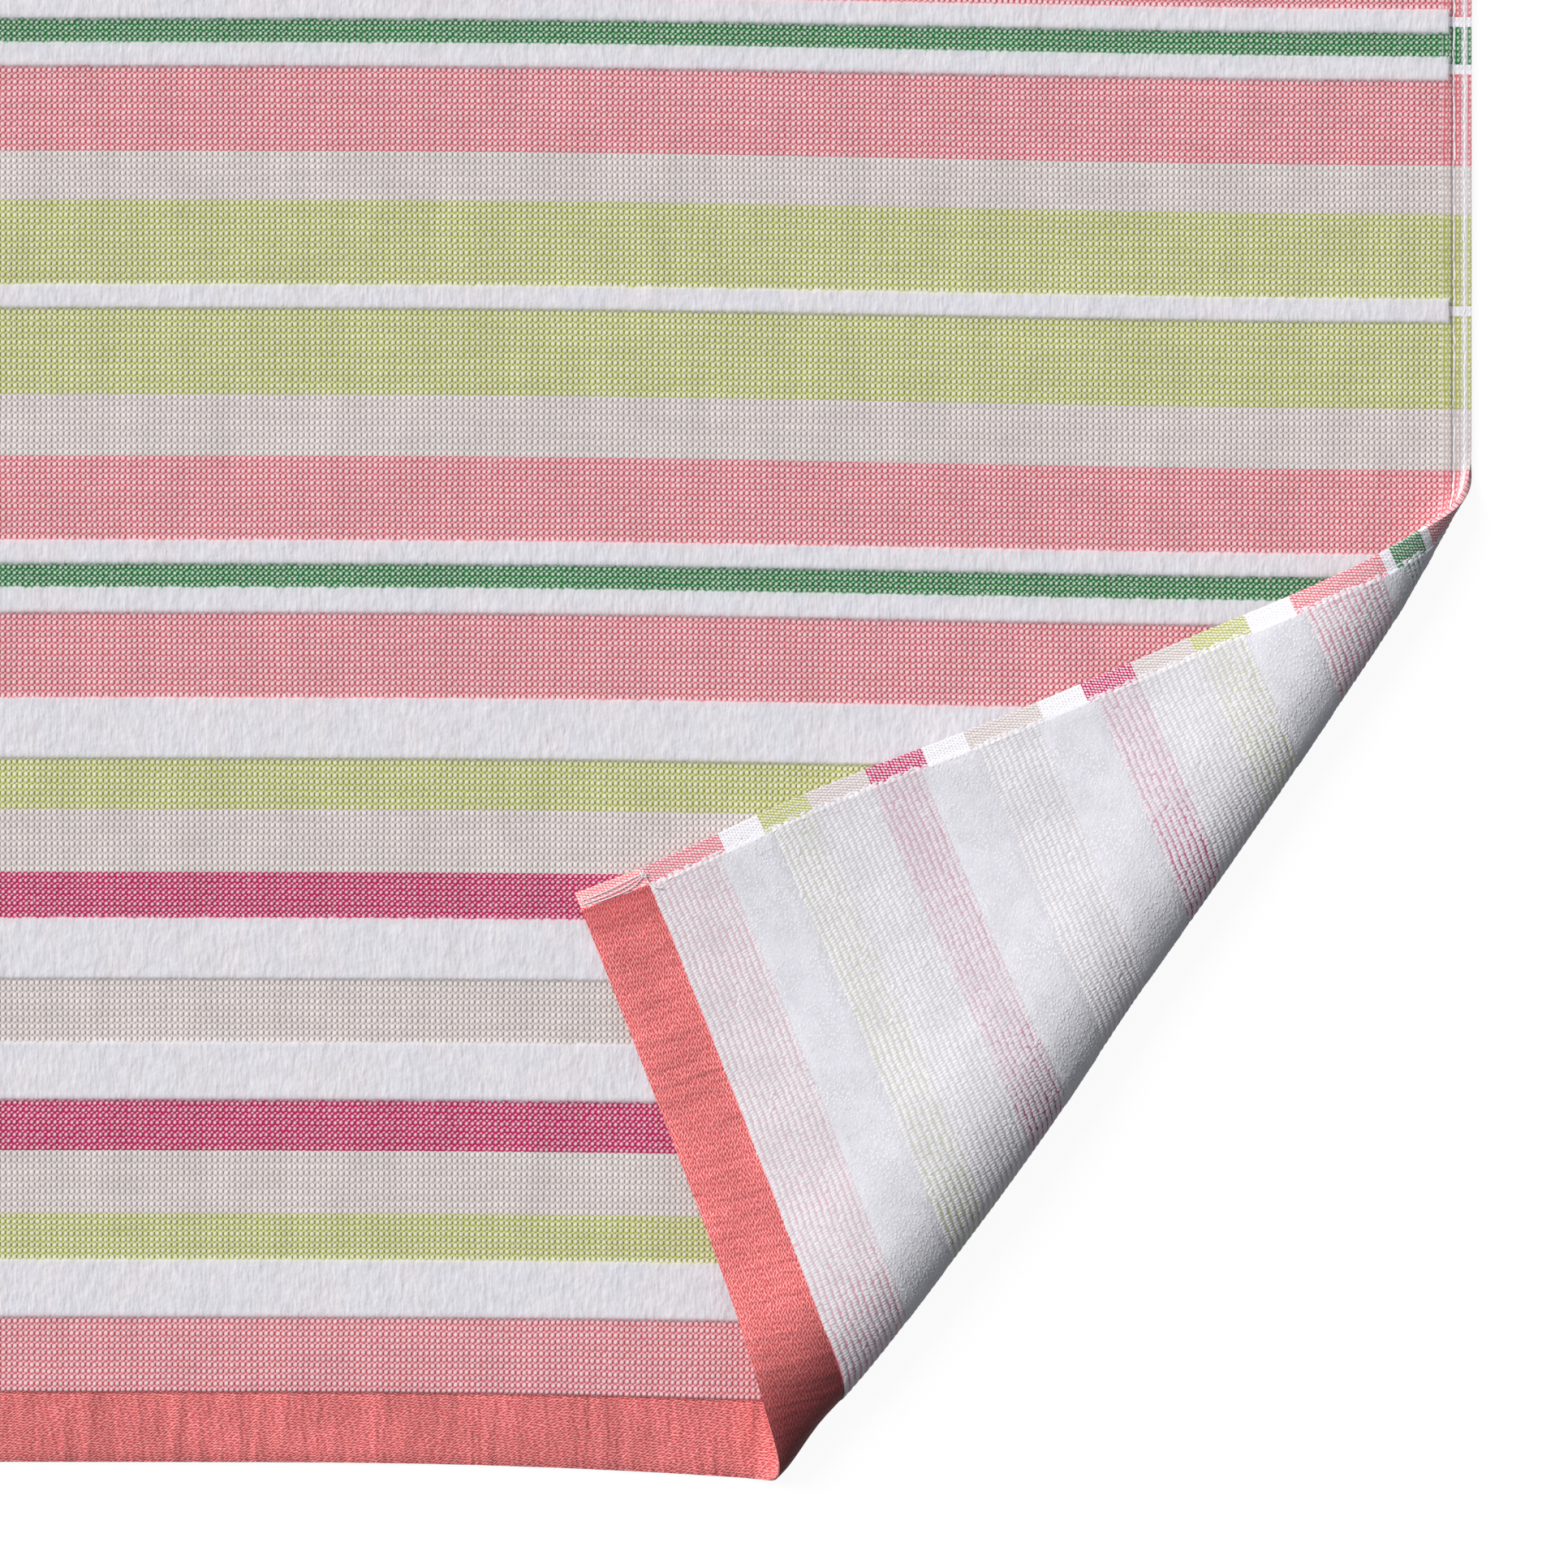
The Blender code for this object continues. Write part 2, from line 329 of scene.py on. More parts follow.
CUT_REACH = 1e-7  # a vertex this near a cut counts as on it
CORNER_BORDER = -0.042  # past the fold: from here on the cloth is cut along the fold
BEND_COLUMNS = ("from", "to", "step")
BEND_LINES = (
    (-0.042, -0.012, 0.0035),
    (-0.012, 0.012, 0.0012),
    (0.012, 0.072, 0.0040),
    (0.072, 0.190, 0.0070),
)
CROSS_STEP = 0.0070
CROSS_BEYOND = 6 * CROSS_STEP  # how far the cuts across the fold go on past its two ends
BODY_STEP = 0.024
SIDE_INSETS = MM * np.array(
    [0.5, 1.2, 1.8, 2.25, 2.7, 3.4, 4.3, 5.2, 5.8, 6.25, 6.9, 7.4, 8.3, 9.8, 12.0]
)
END_INSETS = MM * np.array(
    [0.5, 1.1, 1.8, 2.6, 3.6, 4.6, 7.0, 12.0, 18.0, 21.0, 22.0, 22.5, 23.0, 23.5, 24.1]
)
PILE_CUTS = (-PILE_BEFORE - 0.7 * MM, -PILE_BEFORE, -0.1 * MM, 0.8 * MM, 1.6 * MM, PILE_AFTER)
RIM_ROUND = 0.7 * MM


def add_object(name, data):
    """A new object in the scene."""
    made = bpy.data.objects.new(name, data)
    bpy.context.scene.collection.objects.link(made)
    return made


def mesh_from(bm, name):
    """A new mesh with what the bmesh holds, which is freed."""
    mesh = bpy.data.meshes.new(name)
    bm.to_mesh(mesh)
    bm.free()
    return mesh


def cut_along(bm, faces, place, direction):
    """Cuts the faces by the upright plane through place, square to direction."""
    geometry = dict.fromkeys(faces)
    for face in faces:
        geometry.update(dict.fromkeys(face.edges))
        geometry.update(dict.fromkeys(face.verts))
    bmesh.ops.bisect_plane(
        bm, geom=list(geometry), dist=CUT_REACH, plane_co=place.to_3d(), plane_no=direction.to_3d()
    )


def cut_all(bm, places, axis):
    """Cuts all the faces by upright planes square to the axis, at places along it."""
    normal = axis.to_3d()
    for place in places:
        geometry = bm.verts[:] + bm.edges[:] + bm.faces[:]
        at = normal * float(place)
        bmesh.ops.bisect_plane(bm, geom=geometry, dist=CUT_REACH, plane_co=at, plane_no=normal)


def corner_faces(bm):
    """The faces of the turned corner and of the cloth beside its fold."""
    def past(face):
        return (face.calc_center_median().to_2d() - FOLD_HEAD).dot(OUTWARD)

    return [face for face in bm.faces if past(face) > CORNER_BORDER]


def stripe_cuts():
    """Where the cloth is cut across, at the stripes' edges and where the pile rises."""
    cuts = []
    for before, after in zip(LAYOUT, LAYOUT[1:]):
        side = into_pile(before, after)
        cuts += [before.high + side * step for step in (PILE_CUTS if side else (0.0,))]
    return cuts


def with_fillers(places, step):
    """The places, with more between them where they are further apart than step."""
    places = sorted(places)
    filled = [places[0]]
    for low, high in zip(places, places[1:]):
        parts = int(np.ceil((high - low) / step - 1e-6))
        filled += list(np.linspace(low, high, parts + 1)[1:])
    return filled


def flat_sheet():
    """The cloth as one flat layer, cut where it bends, changes colour or changes height."""
    bm = bmesh.new()
    bmesh.ops.create_grid(bm, x_segments=1, y_segments=1, size=0.5)
    bmesh.ops.scale(bm, verts=bm.verts, vec=(WIDTH, LENGTH, 1))
    cut_along(bm, bm.faces[:], FOLD_HEAD + OUTWARD * CORNER_BORDER, OUTWARD)
    for row in BEND_LINES:
        bend = dict(zip(BEND_COLUMNS, row))
        for distance in np.arange(bend["from"] + bend["step"], bend["to"] + 1e-6, bend["step"]):
            cut_along(bm, corner_faces(bm), FOLD_HEAD + OUTWARD * float(distance), OUTWARD)
    for distance in np.arange(-CROSS_BEYOND, FOLD_LENGTH + CROSS_BEYOND, CROSS_STEP):
        cut_along(bm, corner_faces(bm), FOLD_HEAD + DOWN_FOLD * float(distance), DOWN_FOLD)
    across = Vector((1, 0))
    lengthwise = Vector((0, 1))
    innermost = WIDTH / 2 - SIDE_INSETS[-1]
    for place in with_fillers([-innermost, innermost], BODY_STEP)[1:-1]:
        corner = set(corner_faces(bm))
        body = [face for face in bm.faces if face not in corner]
        cut_along(bm, body, across * float(place), across)
    sides = [sign * (WIDTH / 2 - inset) for inset in SIDE_INSETS for sign in (-1, 1)]
    cut_all(bm, sides, across)
    ends = [sign * (LENGTH / 2 - inset) for inset in END_INSETS for sign in (-1, 1)]
    cut_all(bm, with_fillers(ends + stripe_cuts(), BODY_STEP), lengthwise)
    return bm


def end_rounding(end_inset):
    """1 at the edge of an end hem, where it has rounded down, and 0 where it lies full."""
    return np.clip(1 - end_inset / END_ROUND, 0, 1) ** 2


def front_lift(x, y):
    """How far the front stands over the plain slab: woven stripes lie lower, seams dig in."""
    inset, end_inset = insets(x, y)
    bare = 1 - smooth_step(pile_share(x, y), 0.0, VELOUR_FULL)
    lift = -VELOUR_RISE * bare * smooth_step(end_inset, END_HEM - HEM_SLOPE, END_HEM)
    lift = lift + SIDE_FILL * (1 - past_hem(inset, SIDE_HEM))
    for seam in SEAM_INSETS:
        lift = lift - SEAM_DEPTH * np.exp(-(((inset - seam) / SEAM_SPREAD) ** 2))
    return lift - END_DROP * end_rounding(end_inset)


def back_lift(x, y):
    """The same for the back: the ground under the loops lies lower, the side hem is ridged."""
    inset, end_inset = insets(x, y)
    turned = smooth_step(lifted_run(x, y), 0, LOOP_START)
    on_pile = past_hem(inset, SIDE_HEM) * past_hem(end_inset, END_HEM)
    depth = LOOP_DEPTH + (LOOSE_DEPTH - LOOP_DEPTH) * pile_share(x, y)
    ridged = 1 - smooth_step(inset, SIDE_HEM - HEM_SLOPE, SIDE_HEM)
    lift = -RIDGE_HEIGHT * ridged * (1 + np.cos(2 * pi * inset / RIDGE_PITCH)) / 2
    return lift - (depth * on_pile + END_DROP * end_rounding(end_inset)) * turned


def on_face(x, y, front, extra=0.0):
    """A laid place on the cloth's front or back, extra metres off its surface."""
    half = thickness_at(x, y) / 2
    if front:
        return lay_cloth(x, y, half + front_lift(x, y) + extra)
    return lay_cloth(x, y, -half - back_lift(x, y) - extra)


def is_rim(edge):
    """True for an edge between the wall round the slab and its front or back."""
    if len(edge.link_faces) != 2:
        return False
    flat = [abs(face.normal.z) > 0.5 for face in edge.link_faces]
    return flat[0] != flat[1]


def face_side(face):
    """1 for the front, -1 for the back, 0 for the wall round the edge."""
    return int(round(face.normal.z)) if abs(face.normal.z) > 0.9 else 0


def laid_slab(flat):
    """Lays the slab's points: its front and back take their relief, and the wall goes between."""
    x, y, z = flat.T
    half = thickness_at(x, y) / 2
    low = -half - back_lift(x, y)
    high = half + front_lift(x, y)
    return lay_cloth(x, y, low + (high - low) * z / THICKNESS)


def make_cloth():
    """The whole cloth: two flat layers with a rounded wall between, painted and then laid."""
    bm = flat_sheet()
    made = bmesh.ops.extrude_face_region(bm, geom=bm.faces[:])
    for element in made["geom"]:
        if isinstance(element, bmesh.types.BMVert):
            element.co.z = THICKNESS
    bmesh.ops.recalc_face_normals(bm, faces=bm.faces)
    rims = [edge for edge in bm.edges if is_rim(edge)]
    bmesh.ops.bevel(
        bm, geom=rims, offset=RIM_ROUND, offset_type="OFFSET", segments=2, profile=0.5,
        affect="EDGES", material=-1, clamp_overlap=True,
    )
    flat = np.array([vertex.co for vertex in bm.verts])
    sides = np.array([face_side(face) for face in bm.faces])
    mesh = mesh_from(bm, "towel_cloth")
    paint_cloth(mesh, flat, sides)
    mesh.vertices.foreach_set("co", laid_slab(flat).astype(np.float32).ravel())
    mesh.shade_smooth()
    mesh.update()
    return add_object("towel_cloth", mesh)


# ---------------------------------------------------------------- what the mesh tells its finishes


CLOTH_FINISHES = ("front", "hem", "terry", "ground", "side_hem")  # in the order of its materials
PICTURE_SIZE = 1.75  # side of the square that shows the front and, beside it, the back
EDGE_SPREAD = 2.2 * MM  # width that the wall round the cloth takes there
NEAR_EDGE = 1.05 * RIM_ROUND  # up to here a place is on the wall or its rounding
OPEN_RUN = 0.038  # round the fold, up to here, the loop rows stand open and show the ground
CLOSED_RUN = 0.075


def point_values(mesh, name, values):
    """Gives each point of the mesh a number, or a vector where values has rows of three."""
    kind, key = ("FLOAT", "value") if values.ndim == 1 else ("FLOAT_VECTOR", "vector")
    layer = mesh.attributes.new(name, kind, "POINT")
    layer.data.foreach_set(key, values.astype(np.float32).ravel())


def map_corners(mesh, name, places):
    """Gives the mesh a UV map with a place for each corner of each face."""
    layer = mesh.uv_layers.new(name=name)
    layer.uv.foreach_set("vector", places.astype(np.float32).ravel())


def face_corners(mesh):
    """For each corner of each face, the number of its face and that of its vertex."""
    totals = np.empty(len(mesh.polygons), np.int32)
    mesh.polygons.foreach_get("loop_total", totals)
    corners = np.empty(len(mesh.loops), np.int32)
    mesh.loops.foreach_get("vertex_index", corners)
    return np.repeat(np.arange(len(totals)), totals), corners


def flat_picture(places, sides):
    """Where each corner of a face lies in one square with the front left and the back right."""
    x, y, z = places.T
    inset, end_inset = insets(x, y)
    spread = np.where(sides == 0, EDGE_SPREAD * (1 - z / THICKNESS), 0.0)
    x = x + np.sign(x) * spread * (inset < NEAR_EDGE)
    y = y + np.sign(y) * spread * (end_inset < NEAR_EDGE)
    u = np.where(sides < 0, 0.75 - x / PICTURE_SIZE, 0.25 + x / PICTURE_SIZE)
    return np.stack([u, 0.5 + y / PICTURE_SIZE], axis=1)


def opening_at(x, y):
    """1 where the cloth is stretched round the fold, 0 where it lies flat."""
    run = lifted_run(x, y)
    return smooth_step(run, 0, LOOP_START) * (1 - smooth_step(run, OPEN_RUN, CLOSED_RUN))


def face_finishes(x, y, sides):
    """The number of the finish for faces with these middles, on these sides of the cloth."""
    inset, end_inset = insets(x, y)
    back = (sides < 0) & (end_inset >= END_HEM)
    finish = np.full(len(sides), CLOTH_FINISHES.index("front"), np.int32)
    for name, where in (
        ("hem", end_inset < END_HEM),
        ("terry", back),
        ("ground", back & (lifted_run(x, y) > LOOP_START)),
        ("side_hem", (sides <= 0) & (inset < SIDE_HEM)),
    ):
        finish[where] = CLOTH_FINISHES.index(name)
    return finish


def paint_cloth(mesh, flat, sides):
    """Gives each face its finish, and the cloth its maps, weft colours, pile and insets."""
    x, y, z = flat.T
    face_of, corners = face_corners(mesh)
    middle_x, middle_y = [
        np.bincount(face_of, values[corners]) / np.bincount(face_of) for values in (x, y)
    ]
    finish = face_finishes(middle_x, middle_y, sides)
    mesh.polygons.foreach_set("material_index", finish)
    columns = (x[corners] + WIDTH / 2) / COLUMN_PITCH
    map_corners(mesh, "Threads", np.stack([columns, thread_row(y[corners])], axis=1))
    map_corners(mesh, "OFBake", flat_picture(flat[corners], sides[face_of]))
    weft = mesh.color_attributes.new("weft", "FLOAT_COLOR", "CORNER")
    colours = np.ones((len(corners), 4), np.float32)
    colours[:, :3] = weft_colour(middle_y)[face_of]
    weft.data.foreach_set("color", colours.ravel())
    inset, end_inset = insets(x, y)
    opened = opening_at(x, y) * (1 - z / THICKNESS)  # the front is inside the fold, unstretched
    point_values(mesh, "pile", pile_share(x, y))
    point_values(mesh, "opened", opened)
    point_values(mesh, "sewn", end_inset < END_HEM)
    point_values(mesh, "from_end", end_inset)
    point_values(mesh, "inset", inset)


# ---------------------------------------------------------------- nodes


class Value:
    """What a node puts out. + - * / with another value or a number adds a math node."""

    def __init__(self, make, socket):
        self.make = make
        self.socket = socket

    def __add__(self, other):
        return self.make.math("ADD", self, other)

    def __sub__(self, other):
        return self.make.math("SUBTRACT", self, other)

    def __rsub__(self, other):
        return self.make.math("SUBTRACT", other, self)

    def __mul__(self, other):
        return self.make.math("MULTIPLY", self, other)

    def __truediv__(self, other):
        return self.make.math("DIVIDE", self, other)


class Maker:
    """Adds nodes to a tree and gives what they put out as values."""

    def __init__(self, tree):
        self.tree = tree

    def feed(self, socket, value):
        """Links a value to a socket, or sets the socket to a plain number, colour or name."""
        if isinstance(value, Value):
            self.tree.links.new(value.socket, socket)
        else:
            socket.default_value = value

    def outputs(self, kind, inputs, **settings):
        """The outputs of a new node, to be read by number or name."""
        node = self.tree.nodes.new(kind)
        for name, setting in settings.items():
            setattr(node, name, setting)
        for key, value in inputs.items():
            self.feed(node.inputs[key], value)
        return node.outputs

    def add(self, kind, inputs, output=0, **settings):
        """One output of a new node, by its number or name."""
        return Value(self, self.outputs(kind, inputs, **settings)[output])

    def parts(self, kind, value):
        """The three parts of a place or of a colour."""
        return [Value(self, socket) for socket in self.outputs(kind, {0: value})]

    def split(self, place):
        return self.parts("ShaderNodeSeparateXYZ", place)

    def join(self, x, y, z=0.0):
        return self.add("ShaderNodeCombineXYZ", {0: x, 1: y, 2: z})

    def math(self, operation, *values):
        return self.add("ShaderNodeMath", dict(enumerate(values)), operation=operation)

    def vector(self, operation, *values):
        return self.add("ShaderNodeVectorMath", dict(enumerate(values)), operation=operation)

    def larger(self, first, second):
        return self.math("MAXIMUM", first, second)

    def scaled(self, place, x, y, z=1.0):
        return self.vector("MULTIPLY", place, (x, y, z))

    def step(self, value, low=0.0, high=1.0, to_low=0.0, to_high=1.0):
        """Goes smoothly from to_low to to_high while the value goes from low to high."""
        inputs = {0: value, 1: low, 2: high, 3: to_low, 4: to_high}
        return self.add("ShaderNodeMapRange", inputs, interpolation_type="SMOOTHSTEP")

    def mix(self, share, first, second, blend="MIX"):
        inputs = {0: share, 6: first, 7: second}
        return self.add("ShaderNodeMix", inputs, 2, data_type="RGBA", blend_type=blend)

    def mix_value(self, share, first, second):
        return self.add("ShaderNodeMix", {0: share, 2: first, 3: second}, data_type="FLOAT")

    def times(self, base, other):
        """One colour times another."""
        return self.mix(1.0, base, other, "MULTIPLY")

    def toned(self, base, tone):
        """A colour made lighter or darker by a value near 1."""
        return self.times(base, self.join(tone, tone, tone))

    def noise(self, place, scale=1.0, detail=2.0, roughness=0.5):
        inputs = {"Vector": place, "Scale": scale, "Detail": detail, "Roughness": roughness}
        return self.add("ShaderNodeTexNoise", inputs)

    def attribute(self, name, output="Fac"):
        return self.add("ShaderNodeAttribute", {}, output, attribute_name=name)

    def group(self, tree, inputs):
        """What a group puts out, by name."""
        outputs = self.outputs("ShaderNodeGroup", inputs, node_tree=tree)
        return {socket.name: Value(self, socket) for socket in outputs}


# ---------------------------------------------------------------- beads: loops and stitches


BEAD_SIDES = 6
SHOULDER_RADIUS = 0.55
SHOULDER_HEIGHT = 0.64
BEAD_DEPTH = 0.25  # of its underside, which is sunk in the cloth
ON_RIM = 0.9  # a vertex of the bead further out than this is on its rim
FRAME_REACH = 0.3 * MM  # the surface's directions are taken between places this far to each side
SIZE_SPREAD = 0.06  # of beads, as a share of their size


def bead_shape():
    """A low round knob, 1 in radius and 1 high, its rim sharp so that it shades softly up to it."""
    bm = bmesh.new()
    bmesh.ops.create_cone(
        bm, cap_ends=True, cap_tris=True, segments=BEAD_SIDES, radius1=1.0, radius2=SHOULDER_RADIUS,
        depth=SHOULDER_HEIGHT,
    )
    bmesh.ops.translate(bm, verts=bm.verts, vec=(0, 0, SHOULDER_HEIGHT / 2))
    for vertex in bm.verts:
        if vertex.co.to_2d().length < SHOULDER_RADIUS / 2:
            vertex.co.z = 1.0 if vertex.co.z > SHOULDER_HEIGHT / 2 else -BEAD_DEPTH
    for edge in bm.edges:
        edge.smooth = any(vertex.co.to_2d().length < ON_RIM for vertex in edge.verts)
    bmesh.ops.recalc_face_normals(bm, faces=bm.faces)
    return bpy.data.objects.new("bead", mesh_from(bm, "bead"))


def bead_geometry(shape, material):
    """Geometry nodes that put a bead on each point, turned and sized as the point says."""
    tree = bpy.data.node_groups.new("beads", "GeometryNodeTree")
    for way in ("INPUT", "OUTPUT"):
        tree.interface.new_socket("Geometry", in_out=way, socket_type="NodeSocketGeometry")
    make = Maker(tree)
    bead = make.add("GeometryNodeObjectInfo", {"Object": shape}, "Geometry")
    height = make.split(make.add("GeometryNodeInputPosition", {}))[2]
    crowned = {"Geometry": bead, "Name": "crown", "Value": height}
    bead = make.add("GeometryNodeStoreNamedAttribute", crowned, "Geometry")
    up, lean, size = [
        make.add(
            "GeometryNodeInputNamedAttribute", {"Name": name}, "Attribute", data_type="FLOAT_VECTOR"
        )
        for name in ("up", "lean", "size")
    ]
    turn = make.add(
        "FunctionNodeAxesToRotation", {"Primary Axis": up, "Secondary Axis": lean}, "Rotation",
        primary_axis="Z", secondary_axis="X",
    )
    points = make.add("NodeGroupInput", {})
    placing = {"Points": points, "Instance": bead, "Rotation": turn, "Scale": size}
    beads = make.add("GeometryNodeInstanceOnPoints", placing, "Instances")
    beads = make.add("GeometryNodeRealizeInstances", {0: beads})
    beads = make.add("GeometryNodeSetShadeSmooth", {0: beads})
    beads = make.add("GeometryNodeSetMaterial", {0: beads, "Material": material})
    make.feed(tree.nodes.new("NodeGroupOutput").inputs[0], beads)
    return tree


def make_beads(name, places, up, lean, size, tone, tint, material):
    """One mesh of beads: where they are, their outward and long directions, sizes and colour."""
    points = bpy.data.meshes.new(name)
    points.vertices.add(len(places))
    points.vertices.foreach_set("co", places.astype(np.float32).ravel())
    layers = {"up": up, "lean": lean, "size": size, "tint": tint, "tone": tone}
    for label, values in layers.items():
        point_values(points, label, values)
    piece = add_object(name, points)
    modifier = piece.modifiers.new("beads", "NODES")
    shape = bead_shape()
    modifier.node_group = bead_geometry(shape, material)
    evaluated = piece.evaluated_get(bpy.context.evaluated_depsgraph_get())
    mesh = bpy.data.meshes.new_from_object(evaluated)
    mesh.name = name
    piece.modifiers.clear()
    piece.data = mesh
    bpy.data.objects.remove(shape)
    for label in ("up", "lean", "size"):
        if label in mesh.attributes:
            mesh.attributes.remove(mesh.attributes[label])
    return piece


def unit(vectors):
    return vectors / np.linalg.norm(vectors, axis=1, keepdims=True)


def surface_frames(x, y, front, extra):
    """Laid places and the outward, weft and warp directions there."""
    reach = FRAME_REACH
    place = on_face(x, y, front, extra)
    weft = unit(on_face(x + reach, y, front, extra) - on_face(x - reach, y, front, extra))
    warp = unit(on_face(x, y + reach, front, extra) - on_face(x, y - reach, front, extra))
    return place, unit(np.cross(weft, warp) * (1 if front else -1)), weft, warp


def turned_from(warp, weft, angle):
    """Directions on the surface, turned by each angle from the warp towards the weft."""
    return warp * np.cos(angle)[:, None] + weft * np.sin(angle)[:, None]


# Loops: over the woven stripes they stand in tight rows like ropes, over white they are scattered.
# Leans are radians from the warp, strays the share of loops that stand out of line.
LoopKind = namedtuple(
    "LoopKind", "row_pitch pitch size overlap strays lean lean_spread stray_lean tone rise"
)
ROPES = LoopKind(
    row_pitch=2.05 * MM, pitch=1.05 * MM, size=(1.20 * MM, 0.80 * MM, 0.22 * MM), overlap=0.0,
    strays=0.03, lean=0.38, lean_spread=0.12, stray_lean=0.5, tone=0.86, rise=-0.02 * MM,
)
SCATTERED = LoopKind(
    row_pitch=1.22 * MM, pitch=1.12 * MM, size=(0.64 * MM, 0.42 * MM, 0.08 * MM), overlap=1.2 * MM,
    strays=1.0, lean=0.9, lean_spread=0.45, stray_lean=0.0, tone=0.87, rise=-0.01 * MM,
)
LOOP_PIECES = ("lower", "middle", "upper")
LOOP_TINT = {  # how much the weft colours the loops
    "white": 0.0, "coral": 0.08, "beige": 0.04, "lime": 0.03, "magenta": 0.10, "green": 0.06,
}
LOOP_FIELD = 0.330  # how far from the side hem the turned corner reaches
LOOP_TOP = -LENGTH / 2 + 0.360
LOOPS_OVER_SIDE_HEM = 1.0 * MM
LOOPS_FROM_END_HEM = 0.5 * MM
STRAY_SPREAD = 0.35 * MM
ROW_SPREAD = (0.10 * MM, 0.09 * MM)  # of the loops in a row, along it and across it
RISE_SPREAD = 0.02 * MM
OPEN_LEAN = 0.25  # round the fold the loops lean more unevenly
OPEN_STRETCH = 0.30  # and stand higher by this share
ROW_SWINGS = (  # height, wave lengths across and up the cloth, and start in waves
    (0.20 * MM, 0.031, 0.083, 0.0),
    (0.08 * MM, 0.0117, 0.037, 0.3),
)


def row_wander(x, y):
    """How far the loop rows swing out of line; near rows swing together."""
    waves = [
        height * np.sin(2 * pi * (x / across + y / up + start))
        for height, across, up, start in ROW_SWINGS
    ]
    return sum(waves)


def loop_grid(low, high, kind, draw):
    """Rows of places between low and high, each row begun at its own offset."""
    rows = max(1, round((high - low) / kind.row_pitch))
    per_row = int(LOOP_FIELD / kind.pitch)
    row, column = [grid.ravel() for grid in np.meshgrid(np.arange(rows), np.arange(per_row))]
    start = draw.random(rows) * kind.pitch
    x = WIDTH / 2 - SIDE_HEM + LOOPS_OVER_SIDE_HEM - column * kind.pitch - start[row]
    return x, low + (row + 0.5) * (high - low) / rows


def stripe_loops(stripe, draw):
    """One stripe's loops on the flat sheet: places, leans from the warp, sizes, tints and rises."""
    kind = SCATTERED if stripe.yarn == "white" else ROPES
    x, y = loop_grid(stripe.low - kind.overlap, stripe.high + kind.overlap, kind, draw)
    count = len(x)
    stray = draw.random(count) < kind.strays
    x = x + draw.normal(0, 1, count) * np.where(stray, STRAY_SPREAD, ROW_SPREAD[0])
    y = y + draw.normal(0, 1, count) * np.where(stray, STRAY_SPREAD, ROW_SPREAD[1])
    y = y + row_wander(x, y)
    lean = draw.normal(kind.lean, kind.lean_spread, count)
    lean = lean + np.where(stray, draw.normal(0, kind.stray_lean, count), 0.0)
    size = np.array(kind.size) * draw.normal(1, SIZE_SPREAD, (count, 3))
    opening = opening_at(x, y)
    lean = lean + draw.normal(0, OPEN_LEAN, count) * opening
    size[:, 2] *= 1 + OPEN_STRETCH * opening
    white = np.array(YARNS["white"])
    tint = white + (np.array(YARNS[stripe.yarn]) - white) * LOOP_TINT[stripe.yarn]
    rise = kind.rise + draw.normal(0, RISE_SPREAD, count)
    return x, y, lean, size, np.tile(tint * kind.tone, (count, 1)), rise


def make_loops(material):
    """The terry loops on the back, one by one where the turned corner shows them."""
    draw = np.random.default_rng(7)
    shown = [stripe for stripe in LAYOUT if stripe.low <= LOOP_TOP]
    found = [stripe_loops(stripe, draw) for stripe in shown]
    x, y, lean, size, tint, rise = [np.concatenate(values) for values in zip(*found)]
    kept = (lifted_run(x, y) > LOOP_START) & (y + LENGTH / 2 > END_HEM + LOOPS_FROM_END_HEM)
    x, y, lean, size, tint, rise = [values[kept] for values in (x, y, lean, size, tint, rise)]
    place, up, weft, warp = surface_frames(x, y, False, rise)
    lean = turned_from(warp, weft, lean)
    tone = draw.random(len(x))
    pieces = []
    bounds = np.quantile(y, np.linspace(0, 1, len(LOOP_PIECES) + 1))
    for label, low, high in zip(LOOP_PIECES, bounds, bounds[1:]):
        part = (y >= low) & ((y < high) | (high == bounds[-1]))
        values = [value[part] for value in (place, up, lean, size, tone, tint)]
        pieces.append(make_beads("terry_loops_" + label, *values, material))
    return pieces


STITCH_PITCH = 3.0 * MM
STITCH_START = 3 * MM  # from each end of the towel
STITCH_WANDER = 0.12 * MM
STITCH_TURN = 0.06
STITCH_RISE = 0.02 * MM
STITCH_SIZE = (1.85 * MM, 0.46 * MM, 0.16 * MM)
BACK_STITCH_SIZE = (1.10 * MM, 0.24 * MM, 0.12 * MM)
SEAM_ROWS = (  # inset, whether it is on the front, size; behind the outer seam the thread sinks in
    (SEAM_INSETS[0], True, STITCH_SIZE),
    (SEAM_INSETS[1], True, STITCH_SIZE),
    (SEAM_INSETS[1], False, BACK_STITCH_SIZE),
)


def seam_stitches(side, seam, front, size, draw):
    """One row of stitches: places, outward and long directions, and sizes."""
    y = np.arange(-LENGTH / 2 + STITCH_START, LENGTH / 2 - STITCH_START, STITCH_PITCH)
    x = side * (WIDTH / 2 - seam) + draw.normal(0, STITCH_WANDER, len(y))
    place, up, weft, warp = surface_frames(x, y, front, STITCH_RISE)
    lean = turned_from(warp, weft, draw.normal(0, STITCH_TURN, len(y)))
    return place, up, lean, np.array(size) * draw.normal(1, SIZE_SPREAD, (len(y), 3))


def make_stitches(material):
    """The white sewing thread of the side hems: two rows of stitches in front, one behind."""
    draw = np.random.default_rng(11)
    found = [seam_stitches(side, *row, draw) for side in (-1, 1) for row in SEAM_ROWS]
    place, up, lean, size = [np.concatenate(values) for values in zip(*found)]
    tint = np.tile(YARNS["white"], (len(place), 1))
    return make_beads("side_seams", place, up, lean, size, draw.random(len(place)), tint, material)


